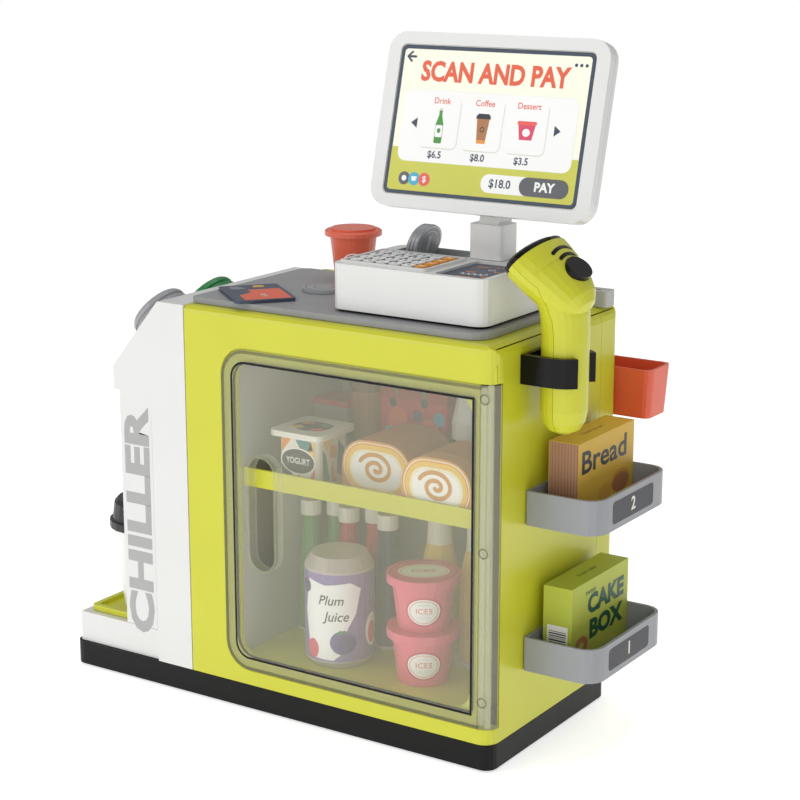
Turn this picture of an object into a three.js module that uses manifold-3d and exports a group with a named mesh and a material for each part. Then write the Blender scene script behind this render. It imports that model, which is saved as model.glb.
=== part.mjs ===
// Toy self-service shop counter: a chilled cabinet with a clear door, a drink bay, a till with a
// keypad and display, a hand scanner in its clip, side trays and the play goods that go with it.
//
// Millimetres, +Z up. Pieces are drawn with the plinth's front left corner at x = 0, y = 0 and its
// underside at z = 0; y runs from the front to the back. The last lines move the whole assembly so
// that the origin is the centre of its footprint, on the floor.

import * as THREE from 'three';
import { mergeVertices } from 'three/addons/utils/BufferGeometryUtils.js';
import Module from 'manifold-3d';

const wasm = await Module();
wasm.setup();

// ---------------------------------------------------------------- driving dimensions
const GAP = 0.3;                 // clearance between pieces that rest on each other
const RUNNING_FIT = 0.08;        // radial clearance of a pin that turns in its hole
const WIDTH = 360;               // plinth, left to right
const DEPTH = 161;               // plinth, front to back
const PLINTH_TOP = 17.3;
const FOOT_HEIGHT = 1.5;
const WALL = 2.4;                // moulded shells
const CABINET_TOP = 283.7;
const CABINET_LEFT = 112.3;      // where the drink bay's housing meets the cabinet
const SEAM_Y = 141.5;            // between the cabinet shell and the rear cover
const REAR = 165.5;              // back of the rear cover

const DOOR = { face: -0.8, left: 144.5, right: 361, bottom: 28.8, top: 258.5, thick: 2.2, radius: 20 };
const PIVOT = { x: 354.5, y: 5.2, pinRadius: 1.5, barRadius: 2.2 };
const MOUTH = { left: 155, right: 342, bottom: 39, top: 249.5, radius: 12 };
const LINER_FLOOR = 36.2;
const FLOOR_TOP = 38.5;
const LINER_BACK = 128;
const SHELF = { bottom: 160.5, top: 173.4, front: 8.2, thick: 2.3 };

const COUNTER = { left: 113, right: 346, front: 8.5, top: 288.3 };

const BAY = { left: 47, right: 79, floor: 40, ceiling: 216 };
const NOZZLE = { x: 60, rows: [42, 97] };
const LEVER = { x: 69.5, z: 206.5, length: 38, pinRadius: 1.6 };
const SLOPE = { lowX: 47, lowZ: 233, highX: 89 };
const CAP = { radius: 22, height: 10.5, slopeMiddle: 0.66, frontY: 25, backY: 80 };

const TILL = { left: 221, right: 340, front: 20, back: 109, bottom: 290.2, top: 320.5, radius: 9 };
const PEDESTAL = { left: 225.5, right: 293, front: 24.5, back: 77, top: 322.4 };
const KEYS = { columns: 6, rows: 4, across: 8.4, deep: 8.2, pitchX: 10.1, pitchY: 11.4 };
const COIN = { radius: 13.5, thick: 2.3 };
const COIN_TRAY = { left: 231, right: 286.5, front: 77.9, back: 106.5, depth: 9.5, floor: 1.6 };

const POST = { left: 289, right: 315, front: 84, back: 105 };
const SCREEN = { x: 302, y: 84, z: 410, width: 167, height: 117.4, thick: 11, lean: 14.5, radius: 13 };
const WINDOW = { width: 147.2, height: 100.2, radius: 4 };
const TILT_PIN = { y: 106.5, z: 376, radius: 2 };

const GUN = { x: 381.5, y: 51, bottom: 221.5, handle: 15.4 };
const HEAD = { x: 375.3, z: 318.5, lean: 48.6, wall: 2.2 };
const BUTTON = { d: -4, across: 11.6, along: 8.8, foot: 6, top: 18.6 };
const CLIP = { bottom: 254.5, top: 273.5, arm: 4, plate: 2.6 };

const TRAY = { reach: 54, front: 40, back: 141, height: 23.2, wall: 2.2, radius: 13 };
const TRAY_LEVELS = { lower: 58.3, upper: 158.7 };
const TRAY_TABS = [60, 114];     // y of the tabs that hold each tray in the side wall
const BIN_HOOKS = [309, 346];
const BIN = { left: 297, right: 386, front: 166.2, back: 198, bottom: 205, top: 239.5 };

// ---------------------------------------------------------------- materials
const finish = (color, roughness = 0.45, extra = {}) =>
  new THREE.MeshStandardMaterial({ color, roughness, metalness: 0, ...extra });

const lime = finish('#c3ca22', 0.35);
const white = finish('#eeefee', 0.4);
const grey = finish('#8f9092', 0.45);
const paleGrey = finish('#b9bab7', 0.5);
const black = finish('#1d1d1f', 0.35);
const navy = finish('#3a4557', 0.45);
const coral = finish('#e8623c', 0.45);
const brick = finish('#e2684a', 0.4);
const green = finish('#12803c', 0.4);
const orange = finish('#f39a2d', 0.4);
const silver = finish('#8d9093', 0.4, { metalness: 0.3 });
const smoky = finish('#d6dccd', 0.15, { transparent: true, opacity: 0.35 });
const clear = finish('#20242a', 0.1, { transparent: true, opacity: 0.8 });
const steel = finish('#b0b3b6', 0.3, { metalness: 1 });
const pink = finish('#e5536f', 0.45);
const yellow = finish('#e2b53a', 0.55);
const leaf = finish('#b9c53c', 0.55);
const sponge = finish('#f0b25e', 0.7);
const violet = finish('#8b7aa8', 0.35);
const cream = finish('#e9e6d2', 0.5);

// ---------------------------------------------------------------- solids
function solid(geometry) {
  geometry.deleteAttribute('normal');
  geometry.deleteAttribute('uv');
  const merged = mergeVertices(geometry, 1e-4);
  const vertProperties = new Float32Array(merged.attributes.position.array);
  const triVerts = new Uint32Array(merged.index.array);
  return new wasm.Manifold(new wasm.Mesh({ numProp: 3, vertProperties, triVerts }));
}

const join = (first, ...others) => others.reduce((sum, other) => sum.add(other), first);
const cut = (first, ...others) => others.reduce((rest, other) => rest.subtract(other), first);
const common = (first, ...others) => others.reduce((kept, other) => kept.intersect(other), first);

function box(x0, x1, y0, y1, z0, z1) {
  const geometry = new THREE.BoxGeometry(x1 - x0, y1 - y0, z1 - z0);
  geometry.translate((x0 + x1) / 2, (y0 + y1) / 2, (z0 + z1) / 2);
  return solid(geometry);
}

// A rectangle with rounded corners; radii run lower left, lower right, upper right, upper left.
function rounded(u0, u1, v0, v1, radii, steps = 4) {
  const [a, b, c, d] = Array.isArray(radii) ? radii : [radii, radii, radii, radii];
  const corners = [[u0 + a, v0 + a, a, 2], [u1 - b, v0 + b, b, 3],
    [u1 - c, v1 - c, c, 0], [u0 + d, v1 - d, d, 1]];
  const points = [];
  for (const [u, v, radius, quarter] of corners) {
    const count = radius > 0 ? steps : 0;
    for (let i = 0; i <= count; i++) {
      const angle = (quarter + (count ? i / count : 0)) * Math.PI / 2;
      points.push(new THREE.Vector2(u + radius * Math.cos(angle), v + radius * Math.sin(angle)));
    }
  }
  return points;
}

const FRAMES = {
  x: [new THREE.Vector3(0, 1, 0), new THREE.Vector3(0, 0, 1), new THREE.Vector3(1, 0, 0)],
  y: [new THREE.Vector3(1, 0, 0), new THREE.Vector3(0, 0, 1), new THREE.Vector3(0, -1, 0)],
  z: [new THREE.Vector3(1, 0, 0), new THREE.Vector3(0, 1, 0), new THREE.Vector3(0, 0, 1)],
};

// Extrudes an outline along an axis. Outlines are (y, z) along x, (x, z) along y and (x, y) along z.
function prism(axis, points, from, to) {
  const outline = points.map((p) => (p.isVector2 ? p : new THREE.Vector2(...p)));
  const geometry = new THREE.ExtrudeGeometry(new THREE.Shape(outline),
    { depth: to - from, bevelEnabled: false });
  geometry.applyMatrix4(new THREE.Matrix4().makeBasis(...FRAMES[axis]));
  const shift = { x: [from, 0, 0], y: [0, to, 0], z: [0, 0, from] }[axis];
  geometry.translate(...shift);
  return solid(geometry);
}

// Turns a profile of (radius, height) points, from axis to axis, about the vertical line at x, y.
function turned(profile, x, y, z = 0, segments = 24) {
  const geometry = new THREE.LatheGeometry(profile.map(([r, h]) => new THREE.Vector2(r, h)), segments);
  geometry.rotateX(Math.PI / 2);
  geometry.translate(x, y, z);
  return solid(geometry);
}

const disc = (radius, x, y, z0, z1, segments = 24) =>
  turned([[0, z0], [radius, z0], [radius, z1], [0, z1]], x, y, 0, segments);

// A cylinder between two heights along x or y.
function rod(axis, radius, from, to, u, v, segments = 20) {
  const circle = [];
  for (let i = 0; i < segments; i++) {
    const angle = 2 * Math.PI * i / segments;
    circle.push([u + radius * Math.cos(angle), v + radius * Math.sin(angle)]);
  }
  return prism(axis, circle, from, to);
}

// Turns a finished solid by the given degrees about x, y, z and then moves it.
function placed(shape, turn, move = [0, 0, 0]) {
  const angles = turn.map((a) => THREE.MathUtils.degToRad(a));
  const matrix = new THREE.Matrix4().makeRotationFromEuler(new THREE.Euler(...angles, 'XYZ'));
  matrix.setPosition(...move);
  return shape.transform(matrix.elements);
}

const assembly = new THREE.Group();

function add(name, shape, material) {
  const mesh = shape.getMesh();
  const geometry = new THREE.BufferGeometry();
  const positions = new Float32Array(mesh.numVert * 3);
  for (let i = 0; i < mesh.numVert; i++) {
    for (let k = 0; k < 3; k++) positions[3 * i + k] = mesh.vertProperties[mesh.numProp * i + k];
  }
  geometry.setAttribute('position', new THREE.BufferAttribute(positions, 3));
  geometry.setIndex(new THREE.BufferAttribute(new Uint32Array(mesh.triVerts), 1));
  geometry.computeVertexNormals();
  const piece = new THREE.Mesh(geometry, material);
  piece.name = name;
  assembly.add(piece);
}

// ---------------------------------------------------------------- base and cabinet
// A black tray turned upside down: walls all round, four moulded feet under its corners.
function makePlinth() {
  const slab = prism('z', rounded(0, WIDTH, 0, DEPTH, 8), 0, PLINTH_TOP);
  const hollow = prism('z', rounded(WALL, WIDTH - WALL, WALL, DEPTH - WALL, 5), -1, PLINTH_TOP - WALL);
  let plinth = cut(slab, hollow);
  for (const x of [22, WIDTH - 22]) {
    for (const y of [22, DEPTH - 22]) {
      plinth = join(plinth, disc(9, x, y, -FOOT_HEIGHT, PLINTH_TOP - WALL + 1, 16));
    }
  }
  add('base_plinth', plinth, black);
}

// The lime outer shell of the cabinet, open at the back and underneath.
function makeCabinetShell() {
  const bottom = PLINTH_TOP + GAP;
  const plan = prism('z', rounded(CABINET_LEFT, WIDTH, 0, SEAM_Y, [1, 10, 0, 0], 5), bottom, CABINET_TOP);
  const front = prism('y', rounded(CABINET_LEFT, WIDTH, bottom, CABINET_TOP, [0, 0, 9, 2], 4), -1, SEAM_Y);
  const side = prism('x', rounded(0, SEAM_Y + 9, bottom, CABINET_TOP, [0, 0, 0, 5], 3), 0, WIDTH + 1);
  const hollow = box(CABINET_LEFT + WALL, WIDTH - WALL, 6, SEAM_Y + 1, bottom - 1, CABINET_TOP - WALL);
  let shell = cut(common(plan, front, side), hollow);
  for (const [z0, z1] of [[bottom + 1, DOOR.bottom - 1], [DOOR.top + 1, DOOR.top + 12]]) {
    shell = join(shell, box(WIDTH - 16, WIDTH - 1, 4, 13, z0, z1));
  }
  const recess = prism('y', rounded(DOOR.left - 0.8, WIDTH + 5, DOOR.bottom - 0.8, DOOR.top + 0.8,
    [DOOR.radius, 0, 0, DOOR.radius], 5), -2, 3.2);
  const mouth = prism('y', rounded(MOUTH.left, MOUTH.right, MOUTH.bottom, MOUTH.top, MOUTH.radius, 4), 0, 9);
  const corner = disc(7.6, PIVOT.x, PIVOT.y, DOOR.bottom - 0.8, DOOR.top + 0.8, 24);
  const pinHole = disc(PIVOT.pinRadius + RUNNING_FIT, PIVOT.x, PIVOT.y, DOOR.bottom - 7, DOOR.top + 7, 24);
  const counterSeat = prism('z', rounded(COUNTER.left + 6, COUNTER.right - 6, COUNTER.front + 6,
    SEAM_Y - 6, 6, 3), CABINET_TOP - 8, CABINET_TOP + 1);
  const bracketSlots = [];
  for (const z of Object.values(TRAY_LEVELS)) {
    for (const y of TRAY_TABS) {
      bracketSlots.push(box(WIDTH - 4, WIDTH + 1, y - 5.5, y + 5.5, z + 12, z + 16));
    }
  }
  add('cabinet_shell', cut(shell, recess, mouth, corner, pinHole, counterSeat, ...bracketSlots), lime);
}

// The lime cover over the back of the cabinet, with vents and two slots for the bin's hooks.
function makeRearCover() {
  const bottom = PLINTH_TOP + GAP;
  const y0 = SEAM_Y + GAP;
  const plan = prism('z', rounded(CABINET_LEFT, WIDTH, y0, REAR, [0, 0, 5, 1], 4), bottom, CABINET_TOP);
  const back = prism('y', rounded(CABINET_LEFT, WIDTH, bottom, CABINET_TOP, [0, 0, 9, 2], 4), y0, REAR);
  const hollow = box(CABINET_LEFT + WALL, WIDTH - WALL, y0 - 1, REAR - WALL, bottom - 1, CABINET_TOP - WALL);
  const vents = [];
  for (let i = 0; i < 5; i++) {
    const z = 70 + 12 * i;
    vents.push(box(190, 270, REAR - 5, REAR + 1, z, z + 5));
  }
  const hookSlots = BIN_HOOKS.map((x) => box(x - 5, x + 5, REAR - 5, REAR + 1, 229.6, 235.4));
  add('rear_cover', cut(common(plan, back), hollow, ...vents, ...hookSlots), lime);
}

// The grey lining of the chilled space: floor, sides, back and roof, open in front.
function makeLiner() {
  const skin = 2.2;
  const outer = box(MOUTH.left - skin, MOUTH.right + skin, 6 + GAP, LINER_BACK + skin,
    LINER_FLOOR - GAP - skin, MOUTH.top + skin);
  const inner = box(MOUTH.left, MOUTH.right, 5, LINER_BACK, LINER_FLOOR - GAP, MOUTH.top);
  add('cabinet_liner', cut(outer, inner), paleGrey);
  const floor = box(MOUTH.left + GAP, MOUTH.right - GAP, 6.5, LINER_BACK - GAP, LINER_FLOOR, FLOOR_TOP);
  add('cabinet_floor', floor, lime);
}

// The lime shelf: a flat plate with a deep front lip standing up from it.
function makeShelf() {
  const { bottom, top, front, thick } = SHELF;
  const profile = [[front, bottom], [LINER_BACK - GAP, bottom], [LINER_BACK - GAP, bottom + thick],
    [front + thick, bottom + thick], [front + thick, top], [front, top]];
  add('middle_shelf', prism('x', profile, MOUTH.left + GAP, MOUTH.right - GAP), lime);
}

// The grey worktop: a plate with a locating rib that drops into the shell's top.
function makeCounter() {
  const { left, right, front, top } = COUNTER;
  const plate = prism('z', rounded(left, right, front, SEAM_Y - 1, [3, 14, 10, 8]),
    CABINET_TOP + GAP, top);
  const rib = prism('z', rounded(left + 7, right - 7, front + 7, SEAM_Y - 7, 5, 3),
    CABINET_TOP - 4, top - 1);
  const hollow = prism('z', rounded(left + 10, right - 10, front + 10, SEAM_Y - 10, 3, 3),
    CABINET_TOP - 5, top - 2.5);
  add('counter_top', cut(join(plate, rib), hollow), grey);
}

// ---------------------------------------------------------------- drink bay
// The white housing: platform, column and overhanging hood in one moulding, hollow from below.
function makeDispenserHousing() {
  const bottom = PLINTH_TOP + GAP;
  const right = CABINET_LEFT - GAP;
  const top = CABINET_TOP - 0.4;
  const outline = (inset) => [
    [5 + inset, bottom - (inset ? 1 : 0)], [right - inset, bottom - (inset ? 1 : 0)],
    [right - inset, top - inset], [SLOPE.highX + inset * 0.4, top - inset],
    [SLOPE.lowX + inset, SLOPE.lowZ - inset * 0.4], [BAY.left + inset, BAY.ceiling + inset],
    [BAY.right + inset, BAY.ceiling + inset], [BAY.right + inset, BAY.floor - inset],
    [5 + inset, BAY.floor - inset]];
  const body = prism('y', outline(0), 0, DEPTH - 0.4);
  const hollow = prism('y', outline(WALL), WALL + 2.5, DEPTH - 0.4 - WALL);
  const panelRecess = prism('y', rounded(-1, BAY.right + 2, bottom - 1, BAY.ceiling - 2, [0, 0, 14, 0], 5),
    -1, 2.5);
  add('dispenser_housing', cut(body, hollow, panelRecess), white);
}

// The white name panel that closes the front of the bay.
function makeNamePanel() {
  add('name_panel', box(BAY.left + 3, BAY.right - GAP, 2.5, 4.5, BAY.floor + GAP, BAY.ceiling - GAP), white);
}

// The lime inner frame of the bay: front and back webs, a side wall, and a roof that carries two
// nozzles and the lugs of two levers.
function makeBayFrame() {
  const { left, right, floor, ceiling } = BAY;
  const x0 = left + 1.6;
  const x1 = right - GAP;
  const front = box(x0, x1, 4.8, 7.2, floor + GAP, ceiling - GAP);
  const back = box(x0, x1, DEPTH - 6, DEPTH - 3, floor + GAP, ceiling - GAP);
  const roof = box(x0, x1, 6, DEPTH - 5, ceiling - 4, ceiling - GAP);
  const wall = box(x1 - 2, x1, 6, DEPTH - 5, floor + GAP, ceiling - GAP);
  let frame = join(front, back, roof, wall);
  const spout = [[0, -26], [4.5, -26], [5.5, -12], [7, -8], [7, 1], [0, 1]];
  for (const y of NOZZLE.rows) {
    frame = join(frame, turned(spout, NOZZLE.x, y, ceiling - 4, 16));
    frame = cut(frame, disc(2.6, NOZZLE.x, y, ceiling - 32, ceiling - 16, 12));
    for (const side of [y - 12.5, y + 10.5]) {
      const lug = box(LEVER.x - 2.6, LEVER.x + 2.6, side, side + 2, LEVER.z - 3, ceiling - 3.8);
      frame = join(frame, lug);
    }
    frame = cut(frame, rod('y', LEVER.pinRadius + RUNNING_FIT, y - 14, y + 14, LEVER.x, LEVER.z));
  }
  add('bay_frame', frame, lime);
}

// One push paddle hangs behind each nozzle on its own pin, moulded in one piece with it.
function makeLevers() {
  NOZZLE.rows.forEach((y, i) => {
    const low = LEVER.z - LEVER.length;
    const arm = box(LEVER.x - 1.2, LEVER.x + 1.2, y - 7, y + 7, low, LEVER.z);
    const paddle = box(LEVER.x - 1.8, LEVER.x + 1.2, y - 10, y + 10, low, low + 9);
    const pin = rod('y', LEVER.pinRadius, y - 12.5, y + 12.5, LEVER.x, LEVER.z);
    add(`pour_lever_${i + 1}`, join(arm, paddle, pin), black);
  });
}

// A stepped cap on the slope of the hood, turned about the slope's normal.
function makeCaps() {
  const top = CABINET_TOP - 0.4;
  const angle = Math.atan2(top - SLOPE.lowZ, SLOPE.highX - SLOPE.lowX);
  const along = CAP.slopeMiddle;
  const x = SLOPE.lowX + along * (SLOPE.highX - SLOPE.lowX) - GAP * Math.sin(angle);
  const z = SLOPE.lowZ + along * (top - SLOPE.lowZ) + GAP * Math.cos(angle);
  const { radius: r, height: h } = CAP;
  const profile = [[0, 0], [r - 0.6, 0], [r, 0.6], [r, 2.6], [r - 1.4, 3.4], [r - 1.4, 4.2], [r - 0.4, 5],
    [r - 0.9, h - 3], [r - 2.6, h - 1], [r - 5, h], [0, h]];
  const turn = [0, -THREE.MathUtils.radToDeg(angle), 0];
  add('tank_cap_grey', placed(turned(profile, 0, 0), turn, [x, CAP.frontY, z]), grey);
  add('tank_cap_green', placed(turned(profile, 0, 0), turn, [x, CAP.backY, z]), green);
}

// The lime drip tray slides out of the bay to the left.
function makeDripTray() {
  const z0 = BAY.floor + GAP;
  const outer = prism('z', rounded(10.5, 74, 8, 152, 3, 3), z0, z0 + 4.5);
  const inner = prism('z', rounded(14.5, 70, 12, 148, 2, 3), z0 + 1.8, z0 + 6);
  add('drip_tray', cut(outer, inner), lime);
}

// ---------------------------------------------------------------- door
function makeDoor() {
  const { face } = DOOR;
  const bend = 8;
  const sheet = (inset, back) => rounded(DOOR.right - 30, DOOR.right - inset, face + inset, back,
    [0, bend - inset, 0, 0], 4);
  const wrap = cut(prism('z', sheet(0, 7.4), DOOR.bottom, DOOR.top),
    prism('z', sheet(DOOR.thick, 9), DOOR.bottom - 1, DOOR.top + 1));
  const front = prism('y', rounded(DOOR.left, DOOR.right - bend - 1, DOOR.bottom, DOOR.top,
    [DOOR.radius, 0, 0, DOOR.radius], 5), face, face + DOOR.thick);
  const grip = { x0: 165, x1: 189, z0: 103, z1: 186 };
  const ring = prism('y', rounded(grip.x0, grip.x1, grip.z0, grip.z1, 11.9, 4), face, 7.6);
  const hole = prism('y', rounded(grip.x0 + 1.8, grip.x1 - 1.8, grip.z0 + 1.8, grip.z1 - 1.8, 10, 4), -2, 11);
  add('door_panel', cut(join(front, wrap, ring), hole), smoky);

  const bead = (inset) => rounded(DOOR.left + 8 + inset, 345 - inset, DOOR.bottom + 8.5 + inset,
    DOOR.top - 8.5 - inset, [14 - inset, 3, 3, 14 - inset], 4);
  const gasket = cut(prism('y', bead(0), 1.7, 2.8), prism('y', bead(1.3), 1, 4));
  add('door_gasket', gasket, black);

  const rodShape = disc(PIVOT.barRadius, PIVOT.x, PIVOT.y, DOOR.bottom + 0.2, DOOR.top - 0.2, 12);
  const pins = disc(PIVOT.pinRadius, PIVOT.x, PIVOT.y, DOOR.bottom - 6, DOOR.top + 6, 24);
  const flange = box(PIVOT.x - 5, PIVOT.x - 1.5, 1.7, PIVOT.y + 1, DOOR.bottom + 2, DOOR.top - 2);
  let bar = join(rodShape, pins, flange);
  for (const z of [47.5, 149, 250]) bar = join(bar, rod('y', 2.6, 2.5, 4.6, PIVOT.x - 1, z, 16));
  add('hinge_bar', bar, smoky);
}

// ---------------------------------------------------------------- till
function makeTill() {
  const { left, right, front, back, bottom, top, radius } = TILL;
  const sole = rounded(left + 2, right - 2, front + 2, back - 2, radius - 2);
  add('till_base', prism('z', sole, COUNTER.top + GAP, bottom - GAP), black);
  const shell = prism('z', rounded(left, right, front, back, radius), bottom, top);
  const raised = prism('z', rounded(PEDESTAL.left, PEDESTAL.right, PEDESTAL.front, PEDESTAL.back, 3, 3),
    top - 1, PEDESTAL.top);
  const hollow = prism('z', rounded(left + WALL, right - WALL, front + WALL, back - WALL, radius - WALL),
    bottom - 1, top - 5);
  const padSeat = prism('z', rounded(PEDESTAL.left + 2.4, PEDESTAL.right - 2.4, PEDESTAL.front + 2.4,
    PEDESTAL.back - 2.4, 2, 2), top - 1.6, PEDESTAL.top + 1);
  const slateSeat = prism('z', rounded(299, 335.5, 25, 79, 3, 3), top - 3, top + 1);
  const trayHole = prism('z', rounded(COIN_TRAY.left, COIN_TRAY.right, COIN_TRAY.front, COIN_TRAY.back, 3, 3),
    top - 12, top + 1);
  add('till_body', cut(join(shell, raised), hollow, padSeat, slateSeat, trayHole), white);

  add('slate_pad', prism('z', rounded(299.3, 335.2, 25.3, 78.7, 2.7, 3), top - 2.7, top - 1.6), navy);

  const well = (inset, z0, z1) => prism('z', rounded(COIN_TRAY.left + inset, COIN_TRAY.right - inset,
    COIN_TRAY.front + inset, COIN_TRAY.back - inset, 3, 3), z0, z1);
  const floor = top - COIN_TRAY.depth;
  add('coin_tray', cut(well(GAP, floor, top + 0.4), well(1.6, floor + COIN_TRAY.floor, top + 2)), grey);
}

// The soft keypad: a navy sheet with twenty keys; the four operator keys are separate push keys.
function makeKeypad() {
  const z0 = TILL.top - 1.3;
  const { left, right, front, back } = PEDESTAL;
  const rim = 2.7;
  let mat = prism('z', rounded(left + rim, right - rim, front + rim, back - rim, 1.7, 2), z0, z0 + 2);
  const startX = (left + right) / 2 - KEYS.pitchX * (KEYS.columns - 1) / 2;
  const startY = (front + back) / 2 - KEYS.pitchY * (KEYS.rows - 1) / 2;
  const key = (column, row, grow = 0) => {
    const x = startX + column * KEYS.pitchX;
    const y = startY + row * KEYS.pitchY;
    const [w, d] = [KEYS.across / 2 + grow, KEYS.deep / 2 + grow];
    return rounded(x - w, x + w, y - d, y + d, 2.5 + grow, 2);
  };
  for (let row = 0; row < KEYS.rows; row++) {
    for (let column = 0; column < KEYS.columns - 1; column++) {
      mat = join(mat, prism('z', key(column, row), z0 + 1, z0 + 3.2));
    }
    const column = KEYS.columns - 1;
    mat = cut(mat, prism('z', key(column, row, 0.35), z0 - 1, z0 + 3));
    add(`push_key_${row + 1}`, prism('z', key(column, row), z0 + 1.3, z0 + 3.4), orange);
  }
  add('key_mat', mat, navy);
}

// Three coins stand in the tray, leaning over to the left one behind the other.
function makeCoins() {
  const facing = new THREE.Vector3(0.947, -0.097, -0.306).normalize();
  const turn = new THREE.Quaternion().setFromUnitVectors(new THREE.Vector3(1, 0, 0), facing);
  const rise = COIN.radius * Math.hypot(facing.x, facing.y) + COIN.thick / 2 * Math.abs(facing.z);
  const z = TILL.top - COIN_TRAY.depth + COIN_TRAY.floor + GAP + rise;
  for (let i = 0; i < 3; i++) {
    const x = 251.4 - (2 - i) * (COIN.thick + GAP) / facing.x;
    const matrix = new THREE.Matrix4().makeRotationFromQuaternion(turn).setPosition(x, 92.2, z);
    const coin = rod('x', COIN.radius, -COIN.thick / 2, COIN.thick / 2, 0, 0, 32);
    add(`coin_${i + 1}`, coin.transform(matrix.elements), silver);
  }
  const floor = COUNTER.top + GAP;
  add('loose_token', disc(15.5, 177, 76, floor, floor + COIN.thick, 32), grey);
}

// ---------------------------------------------------------------- display
const leaned = (shape) => placed(shape, [-SCREEN.lean, 0, 0], [SCREEN.x, SCREEN.y, SCREEN.z]);

// A rounded slab in the display's own frame, from one depth behind its front face to another.
function slab(width, height, radius, from, to) {
  return prism('y', rounded(-width / 2, width / 2, -height / 2, height / 2, radius, 5), from, to);
}

// Where the tilt pin lies in the display's own frame.
function pinPlace() {
  const lean = THREE.MathUtils.degToRad(SCREEN.lean);
  const dy = TILT_PIN.y - SCREEN.y;
  const dz = TILT_PIN.z - SCREEN.z;
  return {
    behind: dy * Math.cos(lean) - dz * Math.sin(lean),
    up: dy * Math.sin(lean) + dz * Math.cos(lean),
  };
}

function makeDisplay() {
  const { width: w, height: h, thick, radius: r } = SCREEN;
  const half = thick * 0.6;
  const inner = 2.4;
  const opening = slab(WINDOW.width + 0.6, WINDOW.height + 0.6, WINDOW.radius + GAP, -1, 1.7);
  const cavity = slab(w - 2 * inner, h - 2 * inner, r - inner, 3.2, half + 1);
  add('display_bezel', leaned(cut(slab(w, h, r, 0, half), opening, cavity)), white);
  add('screen_sheet', leaned(slab(WINDOW.width, WINDOW.height, WINDOW.radius, 0.5, 1.4)), cream);

  const pin = pinPlace();
  let back = cut(slab(w, h, r, half + GAP, thick),
    slab(w - 2 * inner, h - 2 * inner, r - inner, half - 1, thick - inner));
  for (const side of [-1, 1]) {
    const ear = prism('x', [[thick - 1, pin.up - 9], [pin.behind, pin.up - 6], [pin.behind + 6, pin.up],
      [pin.behind, pin.up + 6], [thick - 1, pin.up + 12]], side * 10.4 - 2.5, side * 10.4 + 2.5);
    const bore = rod('x', TILT_PIN.radius + RUNNING_FIT, side * 10.4 - 4, side * 10.4 + 4,
      pin.behind, pin.up);
    back = join(back, cut(ear, bore));
  }
  add('display_back', leaned(back), white);
}

function makePost() {
  const { left, right, front, back } = POST;
  const top = TILL.top + GAP;
  const column = cut(prism('z', rounded(left, right, front, back, 3, 3), top, 344),
    prism('z', rounded(left + 2.4, right - 2.4, front + 2.4, back - 2.4, 1, 2), top - 1, 341));
  const neck = prism('x', [[front + 3, 343], [back, 343], [TILT_PIN.y + 6, TILT_PIN.z - 4],
    [TILT_PIN.y + 5, TILT_PIN.z + 4], [TILT_PIN.y - 4.5, TILT_PIN.z + 4.5], [TILT_PIN.y - 6, TILT_PIN.z - 6]],
  SCREEN.x - 7.6, SCREEN.x + 7.6);
  const bore = rod('x', TILT_PIN.radius + GAP, SCREEN.x - 9, SCREEN.x + 9, TILT_PIN.y, TILT_PIN.z);
  add('display_post', cut(join(column, neck), bore), white);
  const reach = 12.6;
  const pin = rod('x', TILT_PIN.radius, SCREEN.x - reach, SCREEN.x + reach, TILT_PIN.y, TILT_PIN.z);
  add('tilt_pin', pin, steel);
}

// ---------------------------------------------------------------- hand scanner
// A point on the head's axis, a distance along it from where it meets the handle.
function headPoint(d) {
  const lean = THREE.MathUtils.degToRad(HEAD.lean);
  return [HEAD.x - d * Math.sin(lean), HEAD.z + d * Math.cos(lean)];
}

// One oval cross section: its centre, the tilt of its plane, and half its width and thickness.
const section = ([x, z], degrees, across, thick) =>
  ({ x, z, tilt: THREE.MathUtils.degToRad(degrees), across, thick });

// Cross sections of the scanner's handle and neck, from the bottom up to inside the head.
function handleSections() {
  const { x, bottom, handle: r } = GUN;
  return [
    section([x, bottom], 0, 5, 5),
    section([x, bottom + 2.6], 0, 10.6, 10.4),
    section([x, bottom + 8], 0, 14.2, 13.8),
    section([x, bottom + 16], 0, r, r),
    section([x, HEAD.z - 46], 0, r, r),
    section([x, HEAD.z - 33], 4, r + 0.2, r),
    section([x - 0.4, HEAD.z - 22], 14, r + 2, r + 0.2),
    section([x - 1.4, HEAD.z - 12], 28, r + 5, r + 0.4),
    section(headPoint(2), HEAD.lean, r + 8, r),
  ];
}

// Cross sections of the flared head, from its round heel to its rim.
function headSections() {
  const rows = [[-26.6, 4.4, 4.4], [-24.4, 10.8, 9.2], [-18.5, 17.8, 13.8], [-10, 22.5, 16.6],
    [0, 26.1, 17.6], [7, 28.6, 17.8], [14, 30.2, 17.7], [21, 30.8, 17.5]];
  return rows.map(([d, across, thick]) => section(headPoint(d), HEAD.lean, across, thick));
}

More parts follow.
